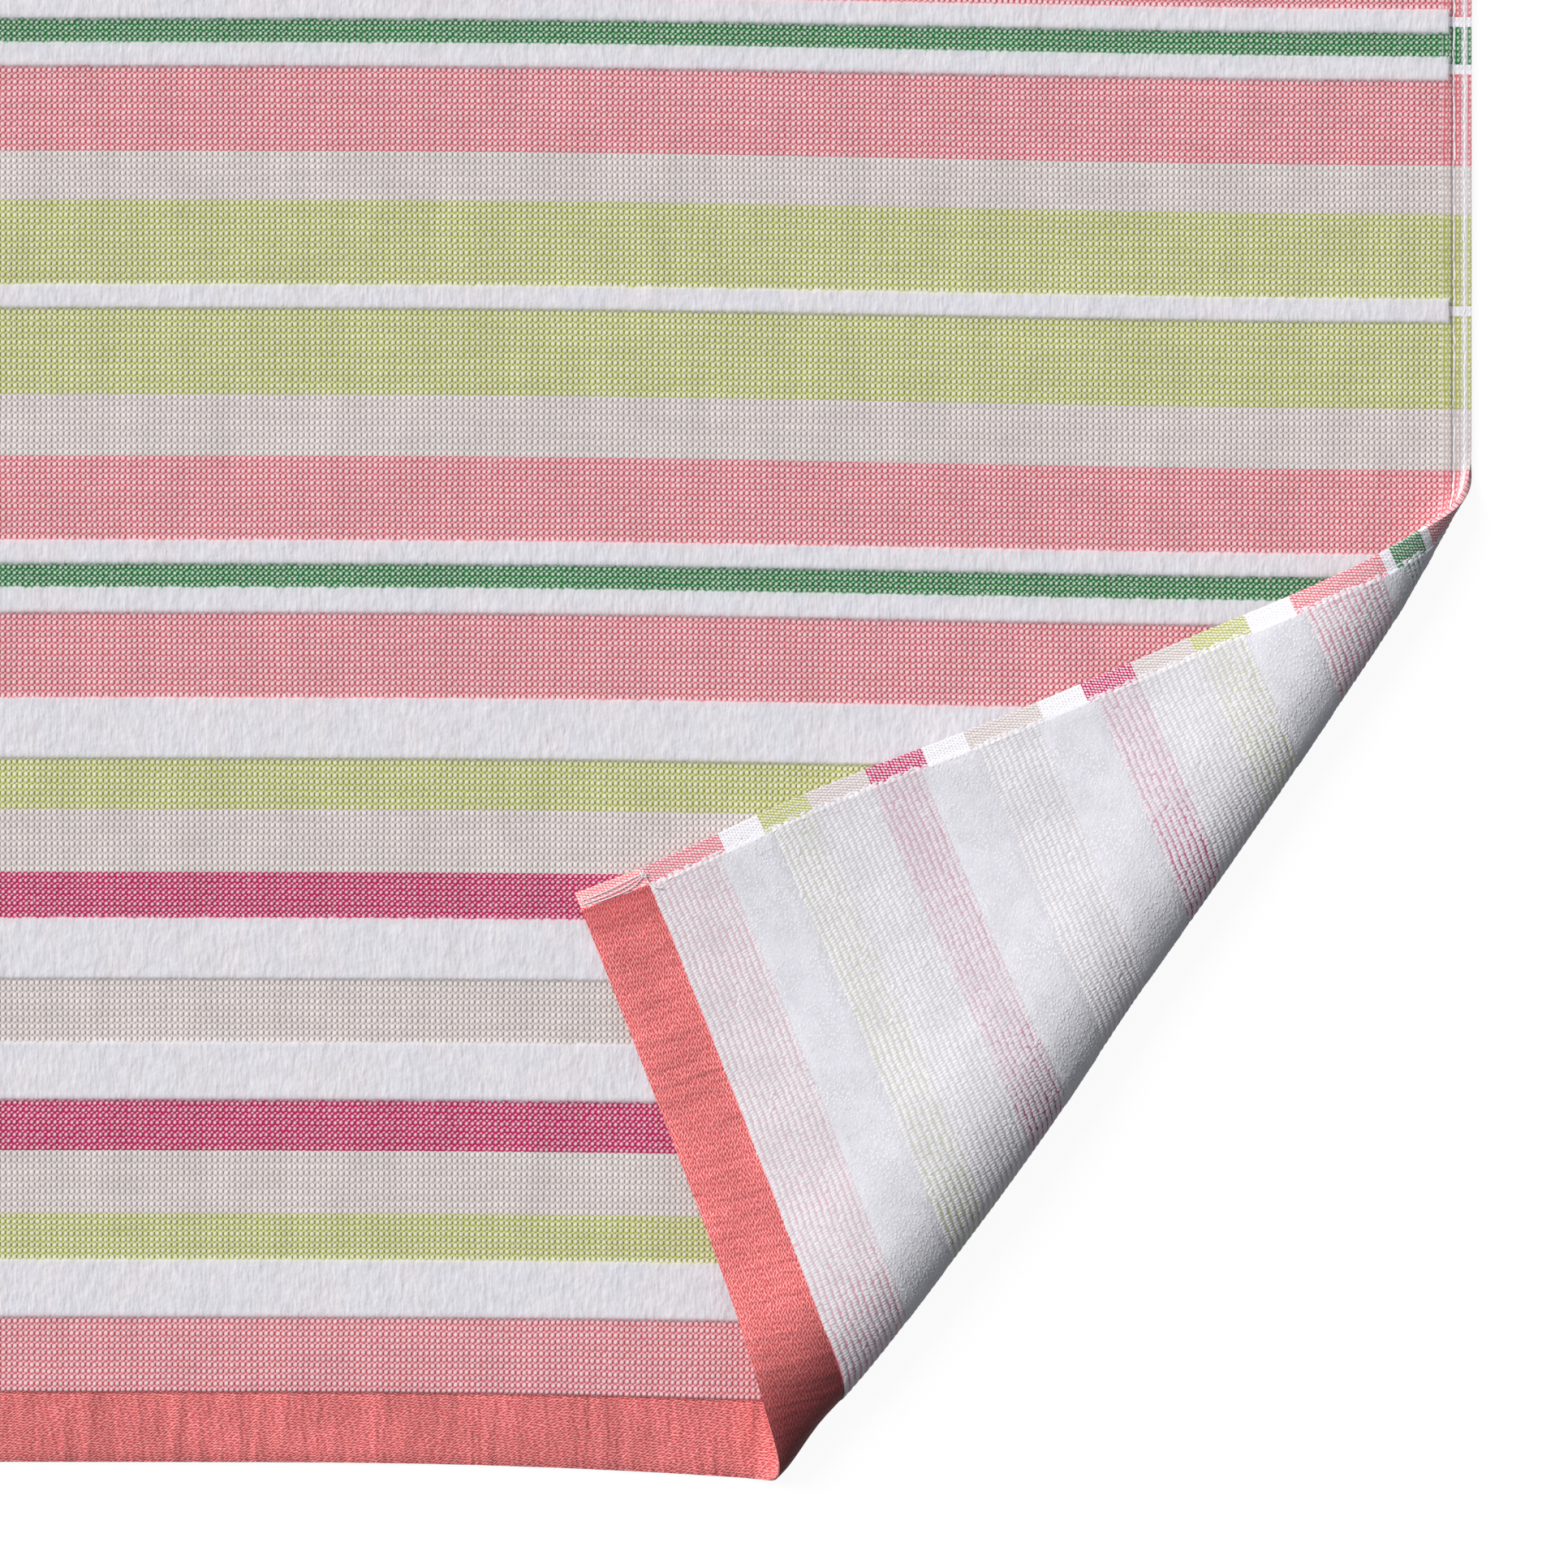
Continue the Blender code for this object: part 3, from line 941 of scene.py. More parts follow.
TIP_THREADS = (  # millimetres in from the side edge, up from the end edge, and off the cloth
    (
        (0.2, 21.0, 0.1), (1.0, 21.6, 0.5), (3.2, 22.6, 0.7), (5.6, 22.9, 0.6), (7.4, 23.6, 0.7),
        (9.2, 26.2, 0.6),
    ),
    ((1.4, 22.8, 0.2), (2.4, 21.4, 0.8), (3.6, 22.2, 0.9), (3.0, 23.4, 0.8), (1.8, 22.6, 0.5)),
    ((2.0, 22.4, 0.4), (2.3, 17.0, 0.45), (3.0, 11.0, 0.4), (3.4, 4.0, 0.3), (3.2, 1.0, 0.1)),
    ((2.6, 22.0, 0.4), (3.8, 17.0, 0.45), (4.4, 12.0, 0.4), (4.7, 6.0, 0.3), (4.6, 1.4, 0.1)),
    ((3.0, 22.0, 0.3), (5.0, 18.5, 0.4), (5.6, 14.0, 0.4), (5.7, 9.0, 0.3), (5.6, 4.5, 0.1)),
)
THREAD_RADIUS = 0.17 * MM


def make_tip_threads(material):
    """The ends of the sewing thread, laid over the tip of the turned corner and knotted."""
    curve = bpy.data.curves.new("seam_thread_ends", "CURVE")
    curve.dimensions = "3D"
    curve.bevel_depth = THREAD_RADIUS
    curve.bevel_resolution = 2
    curve.use_fill_caps = True
    curve.resolution_u = 6
    for route in TIP_THREADS:
        inset, up_from_end, lift = np.array(route).T * MM
        places = on_face(WIDTH / 2 - inset, up_from_end - LENGTH / 2, False, lift)
        spline = curve.splines.new("NURBS")
        spline.points.add(len(places) - 1)
        for point, place in zip(spline.points, places):
            point.co = (*place, 1.0)
        spline.use_endpoint_u = True
        spline.order_u = 3
    ends = add_object("seam_thread_ends", curve)
    evaluated = ends.evaluated_get(bpy.context.evaluated_depsgraph_get())
    mesh = bpy.data.meshes.new_from_object(evaluated)
    bpy.data.objects.remove(ends)
    bm = bmesh.new()
    bm.from_mesh(mesh)
    bmesh.ops.remove_doubles(bm, verts=bm.verts, dist=1e-6)
    bmesh.ops.recalc_face_normals(bm, faces=bm.faces)
    bm.to_mesh(mesh)
    bm.free()
    mesh.shade_smooth()
    mesh.materials.clear()
    mesh.materials.append(material)
    return add_object("seam_thread_ends", mesh)


# ---------------------------------------------------------------- finishes: what they share


# Oval marks of the weaves, one to a cell. Centre and half size are shares of the cell, and so
# is the distance that chance moves a mark. Each row steps on from the one below it.
MARK_COLUMNS = ("centre", "half_size", "unevenness", "row_step", "slant")
MARKS = {
    "dot": ((0.47, 0.46), (0.40, 0.41), 0.10, 0.0, -0.18),
    "pit_beside": ((0.96, 0.42), (0.20, 0.46), 0.14, 0.0, 0.0),
    "pit_above": ((0.58, 0.98), (0.24, 0.21), 0.14, 0.0, 0.0),
    "speck": ((0.95, 0.90), (0.25, 0.20), 0.16, 0.0, -0.5),
    "tick": ((0.5, 0.46), (0.40, 0.40), 0.16, 0.0, 0.0),
    "gap": ((0.5, 0.5), (0.46, 0.30), 0.36, 0.12, 0.3),
    "small_gap": ((0.0, 0.0), (0.42, 0.28), 0.36, 0.12, 0.3),
    "float": ((0.5, 0.0), (0.52, 0.36), 0.36, 0.12, 0.3),
    "next_float": ((0.0, 0.5), (0.52, 0.36), 0.36, 0.12, 0.3),
    "loop": ((0.5, 0.5), (0.62, 0.56), 0.2, 0.4, 0.4),
    "fleck": ((0.5, 0.5), (0.42, 0.46), 0.20, 0.5, 0.5),
    "hollow": ((0.02, 0.5), (0.30, 0.48), 0.20, 0.5, 0.5),
}

# Noise over the cloth: swells to a cell across and up, then detail and roughness. It lies
# mostly within NOISE_RANGE, and its broader swells within NARROW_RANGE.
NOISE_RANGE = (0.3, 0.7)
NARROW_RANGE = (0.35, 0.65)
SWELLS = {
    "row_tone": (1.0, 1.0, 1.0, 0.5),
    "streaks": (0.16, 0.05, 3.0, 0.6),
    "fibre": (4.2, 4.2, 3.0, 0.7),
    "velour_cloud": (0.42, 0.36, 3.0, 0.6),
    "velour_ribs": (1.25, 0.38, 1.5, 0.5),
    "velour_cast": (0.11, 0.09, 2.0, 0.5),
    "cloth_waves": (0.075, 0.03, 2.0, 0.5),
    "twill_hairs": (1.3, 2.9, 3.0, 0.6),
    "pucker": (0.42, 0.05, 2.0, 0.5),
    "hem_cloud": (0.07, 0.09, 1.0, 0.5),
    "ground_patch": (0.35, 0.35, 3.0, 0.7),
    "ground_cloud": (0.22, 0.22, 2.0, 0.5),
    "tuft": (1.9, 1.6, 3.0, 0.6),
}


def shader_group(name, inputs, outputs):
    """A new shader group: its maker, what comes in by name, and the sockets that it puts out."""
    tree = bpy.data.node_groups.new(name, "ShaderNodeTree")
    for label, (kind, value) in inputs.items():
        socket = tree.interface.new_socket(label, in_out="INPUT", socket_type="NodeSocket" + kind)
        socket.default_value = value
    for label, kind in outputs.items():
        tree.interface.new_socket(label, in_out="OUTPUT", socket_type="NodeSocket" + kind)
    make = Maker(tree)
    start = {socket.name: Value(make, socket) for socket in make.outputs("NodeGroupInput", {})}
    return make, start, tree.nodes.new("NodeGroupOutput").inputs


def marks_group():
    """Soft oval marks, one to a cell: on the map place, stepped row by row and slanted."""
    make, start, end = shader_group(
        "oval_marks",
        {
            "Place": ("Vector", (0.0, 0.0, 0.0)),
            "Half Width": ("Float", 0.36),
            "Half Height": ("Float", 0.30),
            "Row Step": ("Float", 0.0),
            "Slant": ("Float", 0.0),
            "Unevenness": ("Float", 0.1),
        },
        {"Mark": "Float", "Chance": "Float"},
    )
    across, up = make.split(start["Place"])[:2]
    row = make.math("FLOOR", up)
    across = across + row * start["Row Step"]
    cell = make.join(make.math("FLOOR", across), row)
    chance = make.add("ShaderNodeTexWhiteNoise", {0: cell}, "Color", noise_dimensions="2D")
    red, green, blue = make.parts("ShaderNodeSeparateColor", chance)
    local_y = make.math("FRACT", up) - 0.5
    local_x = make.math("FRACT", across) - 0.5 + local_y * start["Slant"]
    far_x = (local_x + (red - 0.5) * start["Unevenness"]) / start["Half Width"]
    far_y = (local_y + (green - 0.5) * start["Unevenness"]) / start["Half Height"]
    make.feed(end["Mark"], make.larger(1.0 - (far_x * far_x + far_y * far_y), 0.0))
    make.feed(end["Chance"], blue)
    return make.tree


def wander_group():
    """The thread map with its rows and columns drawn slightly out of line."""
    make, start, end = shader_group(
        "thread_places", {"Wander": ("Float", 0.25)}, {"Place": "Vector"}
    )
    place = make.add("ShaderNodeUVMap", {}, uv_map="Threads")
    noise = {"Vector": place, "Scale": 0.09, "Detail": 2.0}
    drawn = make.vector("SUBTRACT", make.add("ShaderNodeTexNoise", noise, "Color"), (0.5, 0.5, 0.5))
    scaled = {0: drawn, "Scale": start["Wander"]}
    drawn = make.add("ShaderNodeVectorMath", scaled, operation="SCALE")
    make.feed(end["Place"], make.vector("ADD", place, drawn))
    return make.tree


def cloth_material(name):
    """A new material with the cloth's plain values, and the maker of its nodes."""
    material = bpy.data.materials.new(name)
    material.use_nodes = True
    shader = material.node_tree.nodes["Principled BSDF"]
    shader.inputs["Roughness"].default_value = 0.92
    shader.inputs["Specular IOR Level"].default_value = 0.25
    shader.inputs["Sheen Weight"].default_value = 0.12
    shader.inputs["Sheen Roughness"].default_value = 0.6
    return material, Maker(material.node_tree)


def finished(material, make, base, height):
    """The material with its colour, and its relief in metres."""
    shader = material.node_tree.nodes["Principled BSDF"]
    make.feed(shader.inputs["Base Color"], base)
    relief = {"Height": height, "Distance": 1.0, "Strength": 1.0}
    make.feed(shader.inputs["Normal"], make.add("ShaderNodeBump", relief))
    return material


def colour(values, factor=1.0):
    """A colour socket's value, the colour made lighter or darker by the factor."""
    return (*[value * factor for value in values], 1.0)


def grey(level):
    return colour((1.0, 1.0, 1.0), level)


def swells(make, name, place):
    """Noise over the cloth, as the table says."""
    across, up, detail, roughness = SWELLS[name]
    return make.noise(make.scaled(place, across, up), 1.0, detail, roughness)


def mark_at(make, marks, name, place):
    """One oval mark to a cell of the map place, as the table says."""
    mark = dict(zip(MARK_COLUMNS, MARKS[name]))
    centre_x, centre_y = mark["centre"]
    half_width, half_height = mark["half_size"]
    moved = make.vector("ADD", place, (0.5 - centre_x, 0.5 - centre_y, 0.0))
    inputs = {
        "Place": moved, "Half Width": half_width, "Half Height": half_height,
        "Row Step": mark["row_step"], "Slant": mark["slant"], "Unevenness": mark["unevenness"],
    }
    return make.group(marks, inputs)


# ---------------------------------------------------------------- finishes: front


ROW_TONE_ALONG = 0.06  # how fast a row's tone changes along it
ROW_TONE_APART = 7.31  # how far apart two rows lie in the noise
DOT_HEIGHT = 0.05 * MM
SPECK_HEIGHT = 0.03 * MM
PIT_DEPTH = 0.04 * MM
TICK_HEIGHT = 0.07 * MM
RICH_BELOW = 0.12  # a yarn with less red or green than this is a deep one, with smaller dots
PIT_TONE = 0.66  # of the weft's colour times itself
PIT_GLOW = 0.022  # added to it
DOT_SHARPNESS = 0.95  # twice that on the deep yarns
SPECK_WHITE = 0.70
TICKS_ACROSS = 1.45  # to a column of dots
TICK_WHITE = 0.9
PLAIN_EDGE = (9.4 * MM, 10.2 * MM)  # inset from which the plain weave gives way to the dots
WORN_EDGE = (0.5 * MM, 1.5 * MM)  # from the outer seam, where the weave is worn white
WORN_RAGGED = 0.8 * MM
WORN_WHITE = 0.55
DOT_WEFT = 0.22  # least share of weft in a dot
DOT_WEFT_SPREAD = 0.14
VELOUR_TONE = 0.88
VELOUR_COOL = (0.83, 0.825, 0.890)
VELOUR_WARM = (0.855, 0.83, 0.875)
FUZZ_OF_RIBS = 0.6  # how much the ribs and the fibres fray the velour's border
FUZZ_OF_FIBRE = 0.3
FIBRE_HEIGHT = 0.02 * MM
RIB_HEIGHT = 0.26 * MM
CLOUD_HEIGHT = 0.40 * MM
CLOTH_WAVES = 0.9 * MM


def thread_tone(make, place):
    """Each thread row a shade lighter or darker, and the cloth slightly streaked along the warp."""
    across, up = make.split(place)[:2]
    in_row = make.join(across * ROW_TONE_ALONG, make.math("FLOOR", up) * ROW_TONE_APART)
    rows = make.step(swells(make, "row_tone", in_row), *NOISE_RANGE, -0.035, 0.035)
    return rows + make.step(swells(make, "streaks", place), *NOISE_RANGE, 0.96, 1.04)


def dotted_weave(make, marks, place, weft, bright, dot, speck):
    """The coloured stripes: soft dots of white warp, pits round them, and specks between rows."""
    beside = mark_at(make, marks, "pit_beside", place)
    above = mark_at(make, marks, "pit_above", place)
    red, green = make.parts("ShaderNodeSeparateColor", weft)[:2]
    rich = make.step(make.math("MINIMUM", red, green), 0.0, RICH_BELOW, 1.0, 0.0)
    dot_share = make.math("POWER", dot["Mark"], (rich + 1.0) * DOT_SHARPNESS)
    pit_share = make.step(make.larger(beside["Mark"], above["Mark"] * 0.7))
    speck_share = make.step(speck["Mark"])
    pit = make.times(make.times(weft, weft), grey(PIT_TONE))
    pit = make.mix(1.0, pit, grey(PIT_GLOW), "ADD")
    woven = make.mix(pit_share, weft, pit)
    woven = make.mix(speck_share * SPECK_WHITE, woven, colour(YARNS["white"]))
    height = make.step(dot["Mark"]) * DOT_HEIGHT + speck_share * SPECK_HEIGHT
    return make.mix(dot_share, woven, bright), height - pit_share * PIT_DEPTH


def plain_weave(make, marks, place, weft, bright, speck):
    """The plain weave along the sides, where no pile warp runs."""
    tick = mark_at(make, marks, "tick", make.scaled(place, TICKS_ACROSS, 1.0))
    share = make.larger(tick["Mark"], speck["Mark"] * 0.7) * TICK_WHITE
    ground = make.mix(0.35, weft, make.times(weft, weft))
    return make.mix(share, ground, bright), share * TICK_HEIGHT


def velour(make, place, weft, pile, fibre):
    """White velour, cloudy and softly ribbed along the warp: its colour, height and cover."""
    cloud = swells(make, "velour_cloud", place)
    ribs = swells(make, "velour_ribs", place)
    cast = make.step(swells(make, "velour_cast", place), *NARROW_RANGE)
    base = make.mix(cast, colour(VELOUR_COOL, VELOUR_TONE), colour(VELOUR_WARM, VELOUR_TONE))
    tone = make.step(cloud, *NOISE_RANGE, 0.955, 1.025) + make.step(ribs, *NOISE_RANGE, -0.035, 0.03)
    tinged = make.step(pile, 0.2, 1.0, 0.20, 0.0)
    height = fibre * FIBRE_HEIGHT + ribs * RIB_HEIGHT + cloud * CLOUD_HEIGHT
    fuzz = pile + (ribs - 0.5) * FUZZ_OF_RIBS + (fibre - 0.5) * FUZZ_OF_FIBRE
    return make.mix(tinged, make.toned(base, tone), weft), height, make.step(fuzz, 0.08, 0.40)


def front_finish(marks, threads):
    """Woven dots on the coloured stripes, velour on the white ones, plain weave at the side."""
    material, make = cloth_material("woven_front")
    place = make.group(threads, {"Wander": 0.5})["Place"]
    weft = make.attribute("weft", "Color")
    pile = make.attribute("pile")
    inset = make.attribute("inset")
    fibre = swells(make, "fibre", place)
    dot = mark_at(make, marks, "dot", place)
    speck = mark_at(make, marks, "speck", place)
    bright = make.mix(dot["Chance"] * DOT_WEFT_SPREAD + DOT_WEFT, colour(WARP_SHINE), weft)
    dots, dots_height = dotted_weave(make, marks, place, weft, bright, dot, speck)
    plain, plain_height = plain_weave(make, marks, place, weft, bright, speck)
    at_side = make.step(inset, *PLAIN_EDGE, 1.0, 0.0)
    woven = make.mix(at_side, dots, plain)
    woven_height = make.mix_value(at_side, dots_height, plain_height)
    from_seam = make.math("ABSOLUTE", inset - SEAM_INSETS[0]) + (fibre - 0.5) * WORN_RAGGED
    worn = make.step(from_seam, *WORN_EDGE, WORN_WHITE, 0.0)
    woven = make.mix(worn, woven, colour(YARNS["white"]))
    tone = make.step(fibre, 0.25, 0.75, 0.95, 1.05) * thread_tone(make, place)
    pile_colour, pile_height, covered = velour(make, place, weft, pile, fibre)
    base = make.mix(covered, make.toned(woven, tone), pile_colour)
    height = make.mix_value(make.step(pile, 0.0, 0.5), woven_height, pile_height)
    waves = swells(make, "cloth_waves", place)
    return finished(material, make, base, height + waves * CLOTH_WAVES)


# ---------------------------------------------------------------- finishes: hems


# HEM_SHINE is the colour of the painted highlight on the floats' crests.
HEM_SHINE = (1.0, 0.56, 0.54)
HEM_LOW = (0.44, 0.045, 0.055)  # between the floats
HEM_LOW_FOLD_SHADE = (0.10, 0.006, 0.009)  # the same round the fold, where the gaps open, darkened with painted shade
HEM_FOLD_SHADE = (0.17, 0.016, 0.020)  # the floats there, in painted shade
HEM_TONES = (0.84, 0.98)  # of the darkest and the lightest float
TWILL_CLIMB = -0.36  # cells up for each cell across, along a line of floats
TWILL_SWING = 0.06
SHINE_SHARE = 0.62
FOLD_SHADE_ON_FLOATS = 0.88  # how far the floats and what is between them take on painted shade in the fold
FOLD_SHADE_BETWEEN_FLOATS = 0.85
SHADE_BESIDE_SIDE_HEM = (7 * MM, 24 * MM, 0.42)  # this share of painted shade up to one inset, none from the other
TWILL_RIDGE = 0.05 * MM
TWILL_GAP = 0.06 * MM
PUCKER_HEIGHT = 1.2 * MM

HEM_BLOCK_LIFT = (1.14, 1.12, 1.14)  # of the weft colours, where no white warp shades them
SIDE_CELLS = (1.85, 1.90)  # flecks to a woven dot, across and up
FLECK_FULL = 0.55  # how far in a fleck is white all through
FLECK_FULL_SEWN = 0.15  # the same in the end hem, where the flecks are fuller
HEM_EDGE_SHADE_SPAN = (SIDE_HEM - 1.3 * MM, SIDE_HEM - 0.3 * MM)  # where painted shade darkens the turned hem's edge
FLECK_HEIGHT = 0.10 * MM


def hem_finish(marks, threads):
    """The coral twill of the end hems: short slanted floats, brushed and slightly puckered; painted shade
    and highlight.
    """
    material, make = cloth_material("coral_twill")
    place = make.group(threads, {"Wander": 1.0})["Place"]
    opened = make.attribute("opened")
    across = make.split(place)[0]
    climb = across * TWILL_CLIMB + make.math("SINE", across * (2 * pi)) * TWILL_SWING
    leaned = make.vector("ADD", place, make.join(0.0, climb))
    names = ("gap", "small_gap", "float", "next_float")
    cells = make.scaled(leaned, 1.0, 2.0)
    gap, small_gap, first, second = [mark_at(make, marks, name, cells) for name in names]
    gaps = make.larger(gap["Mark"], small_gap["Mark"] * 0.8)
    ridge = make.larger(first["Mark"], second["Mark"])
    hairs = swells(make, "twill_hairs", leaned)
    pucker = swells(make, "pucker", place)
    cloud = swells(make, "hem_cloud", place)
    yarn = make.mix(first["Chance"], *[colour(HEM_YARN, tone) for tone in HEM_TONES])
    # Painted highlights on the crests of the floats, where the brushed hairs catch the light.
    shine = make.step(hairs, *NOISE_RANGE) * make.step(ridge, 0.0, 0.9)
    yarn = make.mix(shine * SHINE_SHARE, yarn, colour(HEM_SHINE))
    # Round the fold the floats and the gaps between them are darkened: painted shade of the fold's far
    # side.
    yarn = make.mix(opened * FOLD_SHADE_ON_FLOATS, yarn, colour(HEM_FOLD_SHADE))
    low = make.mix(opened * FOLD_SHADE_BETWEEN_FLOATS, colour(HEM_LOW), colour(HEM_LOW_FOLD_SHADE))
    # Painted shade on the end hem beside the side hem, where the two meet at the corner.
    painted_shade_by_side = make.step(make.attribute("inset"), *SHADE_BESIDE_SIDE_HEM, 0.0)
    base = make.mix(make.step(gaps, 0.05, 0.9), yarn, low)
    base = make.mix(painted_shade_by_side, base, colour(HEM_LOW))
    tone = make.step(pucker, *NOISE_RANGE, 0.94, 1.04) + make.step(cloud, *NARROW_RANGE, -0.09, 0.05)
    height = make.step(ridge) * TWILL_RIDGE - make.step(gaps) * TWILL_GAP
    rounding = make.larger(1.0 - make.attribute("from_end") / END_ROUND, 0.0)
    height = height + pucker * PUCKER_HEIGHT - rounding * rounding * END_DROP
    return finished(material, make, make.toned(base, tone), height)


def side_hem_finish(marks, threads):
    """The turned-in side hem on the back: blocks of the weft colours with ridges and flecks, shaded at its
    edge.
    """
    material, make = cloth_material("side_hem_weave")
    place = make.group(threads, {"Wander": 0.4})["Place"]
    weft = make.attribute("weft", "Color")
    deep = make.times(weft, weft)
    weft = make.times(weft, colour(HEM_BLOCK_LIFT))
    cells = make.scaled(place, *SIDE_CELLS)
    fleck = mark_at(make, marks, "fleck", cells)["Mark"]
    hollow = mark_at(make, marks, "hollow", cells)["Mark"]
    base = make.mix(make.step(hollow), weft, make.mix(0.75, weft, deep))
    full = make.attribute("sewn") * (FLECK_FULL_SEWN - FLECK_FULL) + FLECK_FULL
    white = make.mix(0.14, colour(WARP_SHINE), weft)
    base = make.mix(make.step(fleck, 0.0, full, 0.0, 0.88), base, white)
    # Painted shade along the turned hem's inner edge.
    border = make.step(make.attribute("inset"), *HEM_EDGE_SHADE_SPAN)
    base = make.mix(border * 0.55, base, deep)
    return finished(material, make, base, make.step(fleck) * FLECK_HEIGHT)


# ---------------------------------------------------------------- finishes: back, loops and thread


BACK_CAST = (0.0, 0.03, 0.12)  # what the white warp adds to the weft seen from behind
LOOSE_SHADED_GROUND = (0.62, 0.62, 0.68)  # the cloth between scattered loops, a little lilac and grey with painted shade
LOOSE_TONES = (0.94, 1.05)
TERRY_HEIGHT = 0.5 * MM
GROUND_WEFT = 0.34  # share of the weft's colour between the rows
OPEN_WEFT = 0.62  # and how much more of it shows round the fold
PATCH_WEFT = 0.15  # and in patches
TUFT_HEIGHT = 0.12 * MM
LOOP_FOOT_SHADE = 0.86  # painted shade on a loop's foot, between the loops
TWISTS = 2600.0  # to the metre
TWIST_HEIGHT = 0.03 * MM
THREAD_TWISTS = (2400.0, 900.0, 900.0)  # to the metre along X, Y and Z
THREAD_LOW = (0.76, 0.72, 0.79)
THREAD_HIGH = (0.90, 0.87, 0.91)
THREAD_TWIST_HEIGHT = 0.06 * MM


def terry_finish(marks, threads):
    """Rows of loops where they aren't modelled one by one: the back that lies face down."""
    material, make = cloth_material("terry_back")
    place = make.group(threads, {"Wander": 0.8})["Place"]
    weft = make.attribute("weft", "Color")
    white = YARNS["white"]
    cells = make.scaled(place, COLUMN_PITCH / ROPES.pitch, ROW_PITCH / ROPES.row_pitch)
    loop = mark_at(make, marks, "loop", cells)
    bright = make.mix(loop["Chance"] * 0.06, colour(white), weft)
    # Between the rows the white is greyed: painted shade between the loops.
    between = make.mix(0.2, colour(white, 0.8), weft)
    base = make.mix(make.step(loop["Mark"], 0.0, 0.7), between, bright)
    return finished(material, make, base, loop["Mark"] * TERRY_HEIGHT)


def ground_finish(threads):
    """The ground under the modelled loops: mostly white greyed by painted shade, and in the weft's colour
    where it opens.
    """
    material, make = cloth_material("terry_ground")
    place = make.group(threads, {"Wander": 0.3})["Place"]
    weft = make.attribute("weft", "Color")
    pile = make.attribute("pile")
    white = YARNS["white"]
    patch = make.step(swells(make, "ground_patch", place), 0.45, 0.75)
    cloud = make.step(swells(make, "ground_cloud", place), *NARROW_RANGE)
    tuft = swells(make, "tuft", place)
    shown = make.attribute("opened") * OPEN_WEFT + GROUND_WEFT + patch * PATCH_WEFT
    cast = make.mix(1.0, weft, colour(BACK_CAST), "ADD")
    # Between the loops the white is greyed: painted shade in the gaps.
    between = make.mix(shown, colour(white, 0.70), cast)
    # The grey between scattered loops is painted shade.
    loose = make.mix(cloud, *[colour(LOOSE_SHADED_GROUND, tone) for tone in LOOSE_TONES])
    loose = make.mix(make.step(tuft, *NOISE_RANGE, 0.0, 0.25), loose, colour(white))
    base = make.mix(make.step(pile, 0.05, 0.35), between, loose)
    return finished(material, make, base, tuft * pile * TUFT_HEIGHT)


def loop_finish():
    """White cotton loops, each a little lighter or darker, tinged by the weft below, with painted shade at
    their feet.
    """
    material, make = cloth_material("terry_loop")
    tint = make.attribute("tint", "Vector")
    crown = make.step(make.attribute("crown"), 0.05, 0.75)
    place = make.add("ShaderNodeTexCoord", {}, "Object")
    twist = make.noise(place, TWISTS)
    cloud = make.noise(place, 70.0)
    tone = make.step(make.attribute("tone"), 0.0, 1.0, 0.96, 1.04)
    tone = tone + make.step(twist, *NOISE_RANGE, -0.02, 0.02) + make.step(cloud, *NOISE_RANGE, -0.05, 0.04)
    # Lower down each loop is darker: painted shade where the loops crowd together.
    base = make.mix(crown, make.times(tint, grey(LOOP_FOOT_SHADE)), tint)
    return finished(material, make, make.toned(base, tone), twist * TWIST_HEIGHT)


def thread_finish():
    """White sewing thread with a slight twist."""
    material, make = cloth_material("sewing_thread")
    place = make.scaled(make.add("ShaderNodeTexCoord", {}, "Object"), *THREAD_TWISTS)
    twist = make.noise(place)
    base = make.mix(make.step(twist, *NOISE_RANGE), colour(THREAD_LOW), colour(THREAD_HIGH))
    return finished(material, make, base, twist * THREAD_TWIST_HEIGHT)


# ---------------------------------------------------------------- studio


CAMERA_PLACE = Vector((0.2073, -0.6145, 1.35))
CAMERA_FIELD = 0.512  # width of cloth that the picture takes in
SENSOR = 36.0
FLOOR_SIZE = 8.0
FLOOR_DROP = 0.3 * MM  # keeps the floor clear of the cloth's underside
FLOOR_COLOUR = (0.09, 0.09, 0.09, 1.0)
FLOOR_GLOW = 0.93
KEY_ELEVATION = radians(36)
KEY_BEARING = radians(145)  # from +X towards +Y: the light comes from the upper left
KEY_STRENGTH = 3.95
KEY_ANGLE = radians(36)
KEY_COLOUR = (1.0, 0.985, 0.97)
SKY_COLOUR = (0.93, 0.95, 1.0, 1.0)
SKY_STRENGTH = 0.26
SKY_BELOW = 0.06  # light from under the horizon, in place of the floor's own
SKY_SEEN = 0.95
HORIZON_SOFTNESS = 0.15


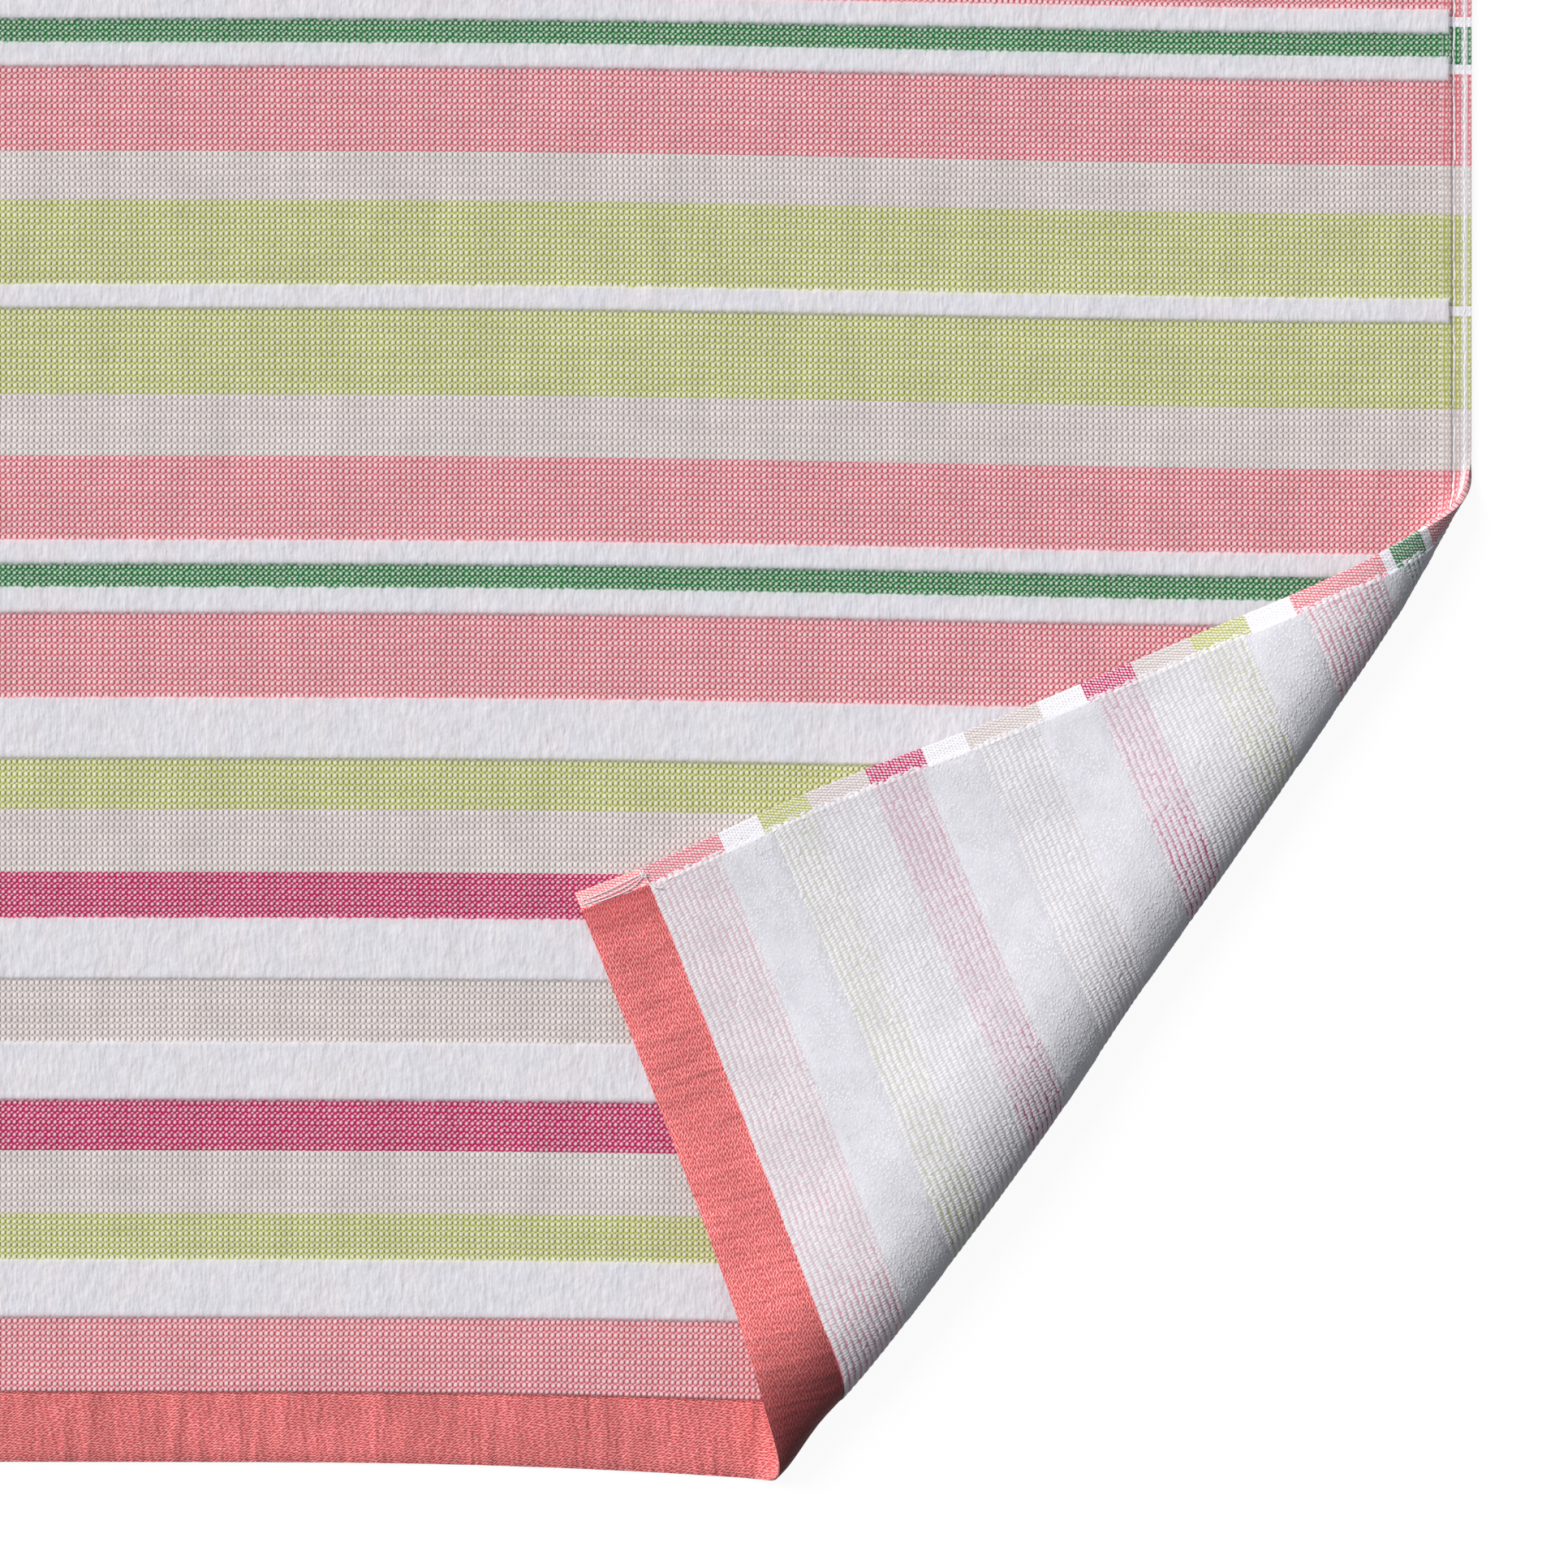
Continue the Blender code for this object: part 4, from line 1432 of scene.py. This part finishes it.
def make_floor():
    """A white floor that the camera sees and that lights nothing."""
    bm = bmesh.new()
    bmesh.ops.create_grid(bm, x_segments=1, y_segments=1, size=FLOOR_SIZE)
    bmesh.ops.translate(bm, verts=bm.verts, vec=(0, 0, -FLOOR_DROP))
    floor = add_object("floor", mesh_from(bm, "floor"))
    material = bpy.data.materials.new("white_floor")
    material.use_nodes = True
    shader = material.node_tree.nodes["Principled BSDF"]
    shader.inputs["Base Color"].default_value = FLOOR_COLOUR
    shader.inputs["Roughness"].default_value = 0.9
    shader.inputs["Specular IOR Level"].default_value = 0.1
    shader.inputs["Emission Color"].default_value = grey(1.0)
    shader.inputs["Emission Strength"].default_value = FLOOR_GLOW
    floor.data.materials.append(material)
    floor.visible_diffuse = False


def light_studio():
    """A broad key light from the upper left and an even, pale sky."""
    light = bpy.data.lights.new("key", "SUN")
    light.energy = KEY_STRENGTH
    light.angle = KEY_ANGLE
    light.color = KEY_COLOUR
    level = cos(KEY_ELEVATION)
    to_light = Vector((level * cos(KEY_BEARING), level * sin(KEY_BEARING), sin(KEY_ELEVATION)))
    add_object("key", light).rotation_euler = to_light.to_track_quat("Z", "Y").to_euler()
    world = bpy.data.worlds.new("studio")
    bpy.context.scene.world = world
    world.use_nodes = True
    make = Maker(world.node_tree)
    sky = world.node_tree.nodes["Background"]
    sky.inputs["Color"].default_value = SKY_COLOUR
    height = make.split(make.add("ShaderNodeTexCoord", {}, "Generated"))[2]
    glow = make.step(height, -HORIZON_SOFTNESS, HORIZON_SOFTNESS, SKY_BELOW, SKY_STRENGTH)
    seen = make.add("ShaderNodeLightPath", {}, "Is Camera Ray")
    make.feed(sky.inputs["Strength"], make.mix_value(seen, glow, SKY_SEEN))


def set_camera():
    """Straight above the turned corner, as in the photo."""
    lens = bpy.data.cameras.new("camera")
    lens.sensor_width = SENSOR
    lens.lens = SENSOR * (CAMERA_PLACE.z - THICKNESS) / CAMERA_FIELD
    lens.clip_start = 0.01
    camera = add_object("camera", lens)
    camera.location = CAMERA_PLACE
    bpy.context.scene.camera = camera


def main():
    bpy.context.scene.view_settings.view_transform = "Standard"
    marks = marks_group()
    threads = wander_group()
    finishes = {
        "front": front_finish(marks, threads),
        "hem": hem_finish(marks, threads),
        "terry": terry_finish(marks, threads),
        "ground": ground_finish(threads),
        "side_hem": side_hem_finish(marks, threads),
    }
    cloth = make_cloth()
    for name in CLOTH_FINISHES:
        cloth.data.materials.append(finishes[name])
    loops = make_loops(loop_finish())
    thread = thread_finish()
    seams = [make_stitches(thread), make_tip_threads(thread)]
    for piece in [cloth] + loops + seams:
        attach(piece, "root")
    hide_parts("towel")
    make_floor()
    light_studio()
    set_camera()


main()
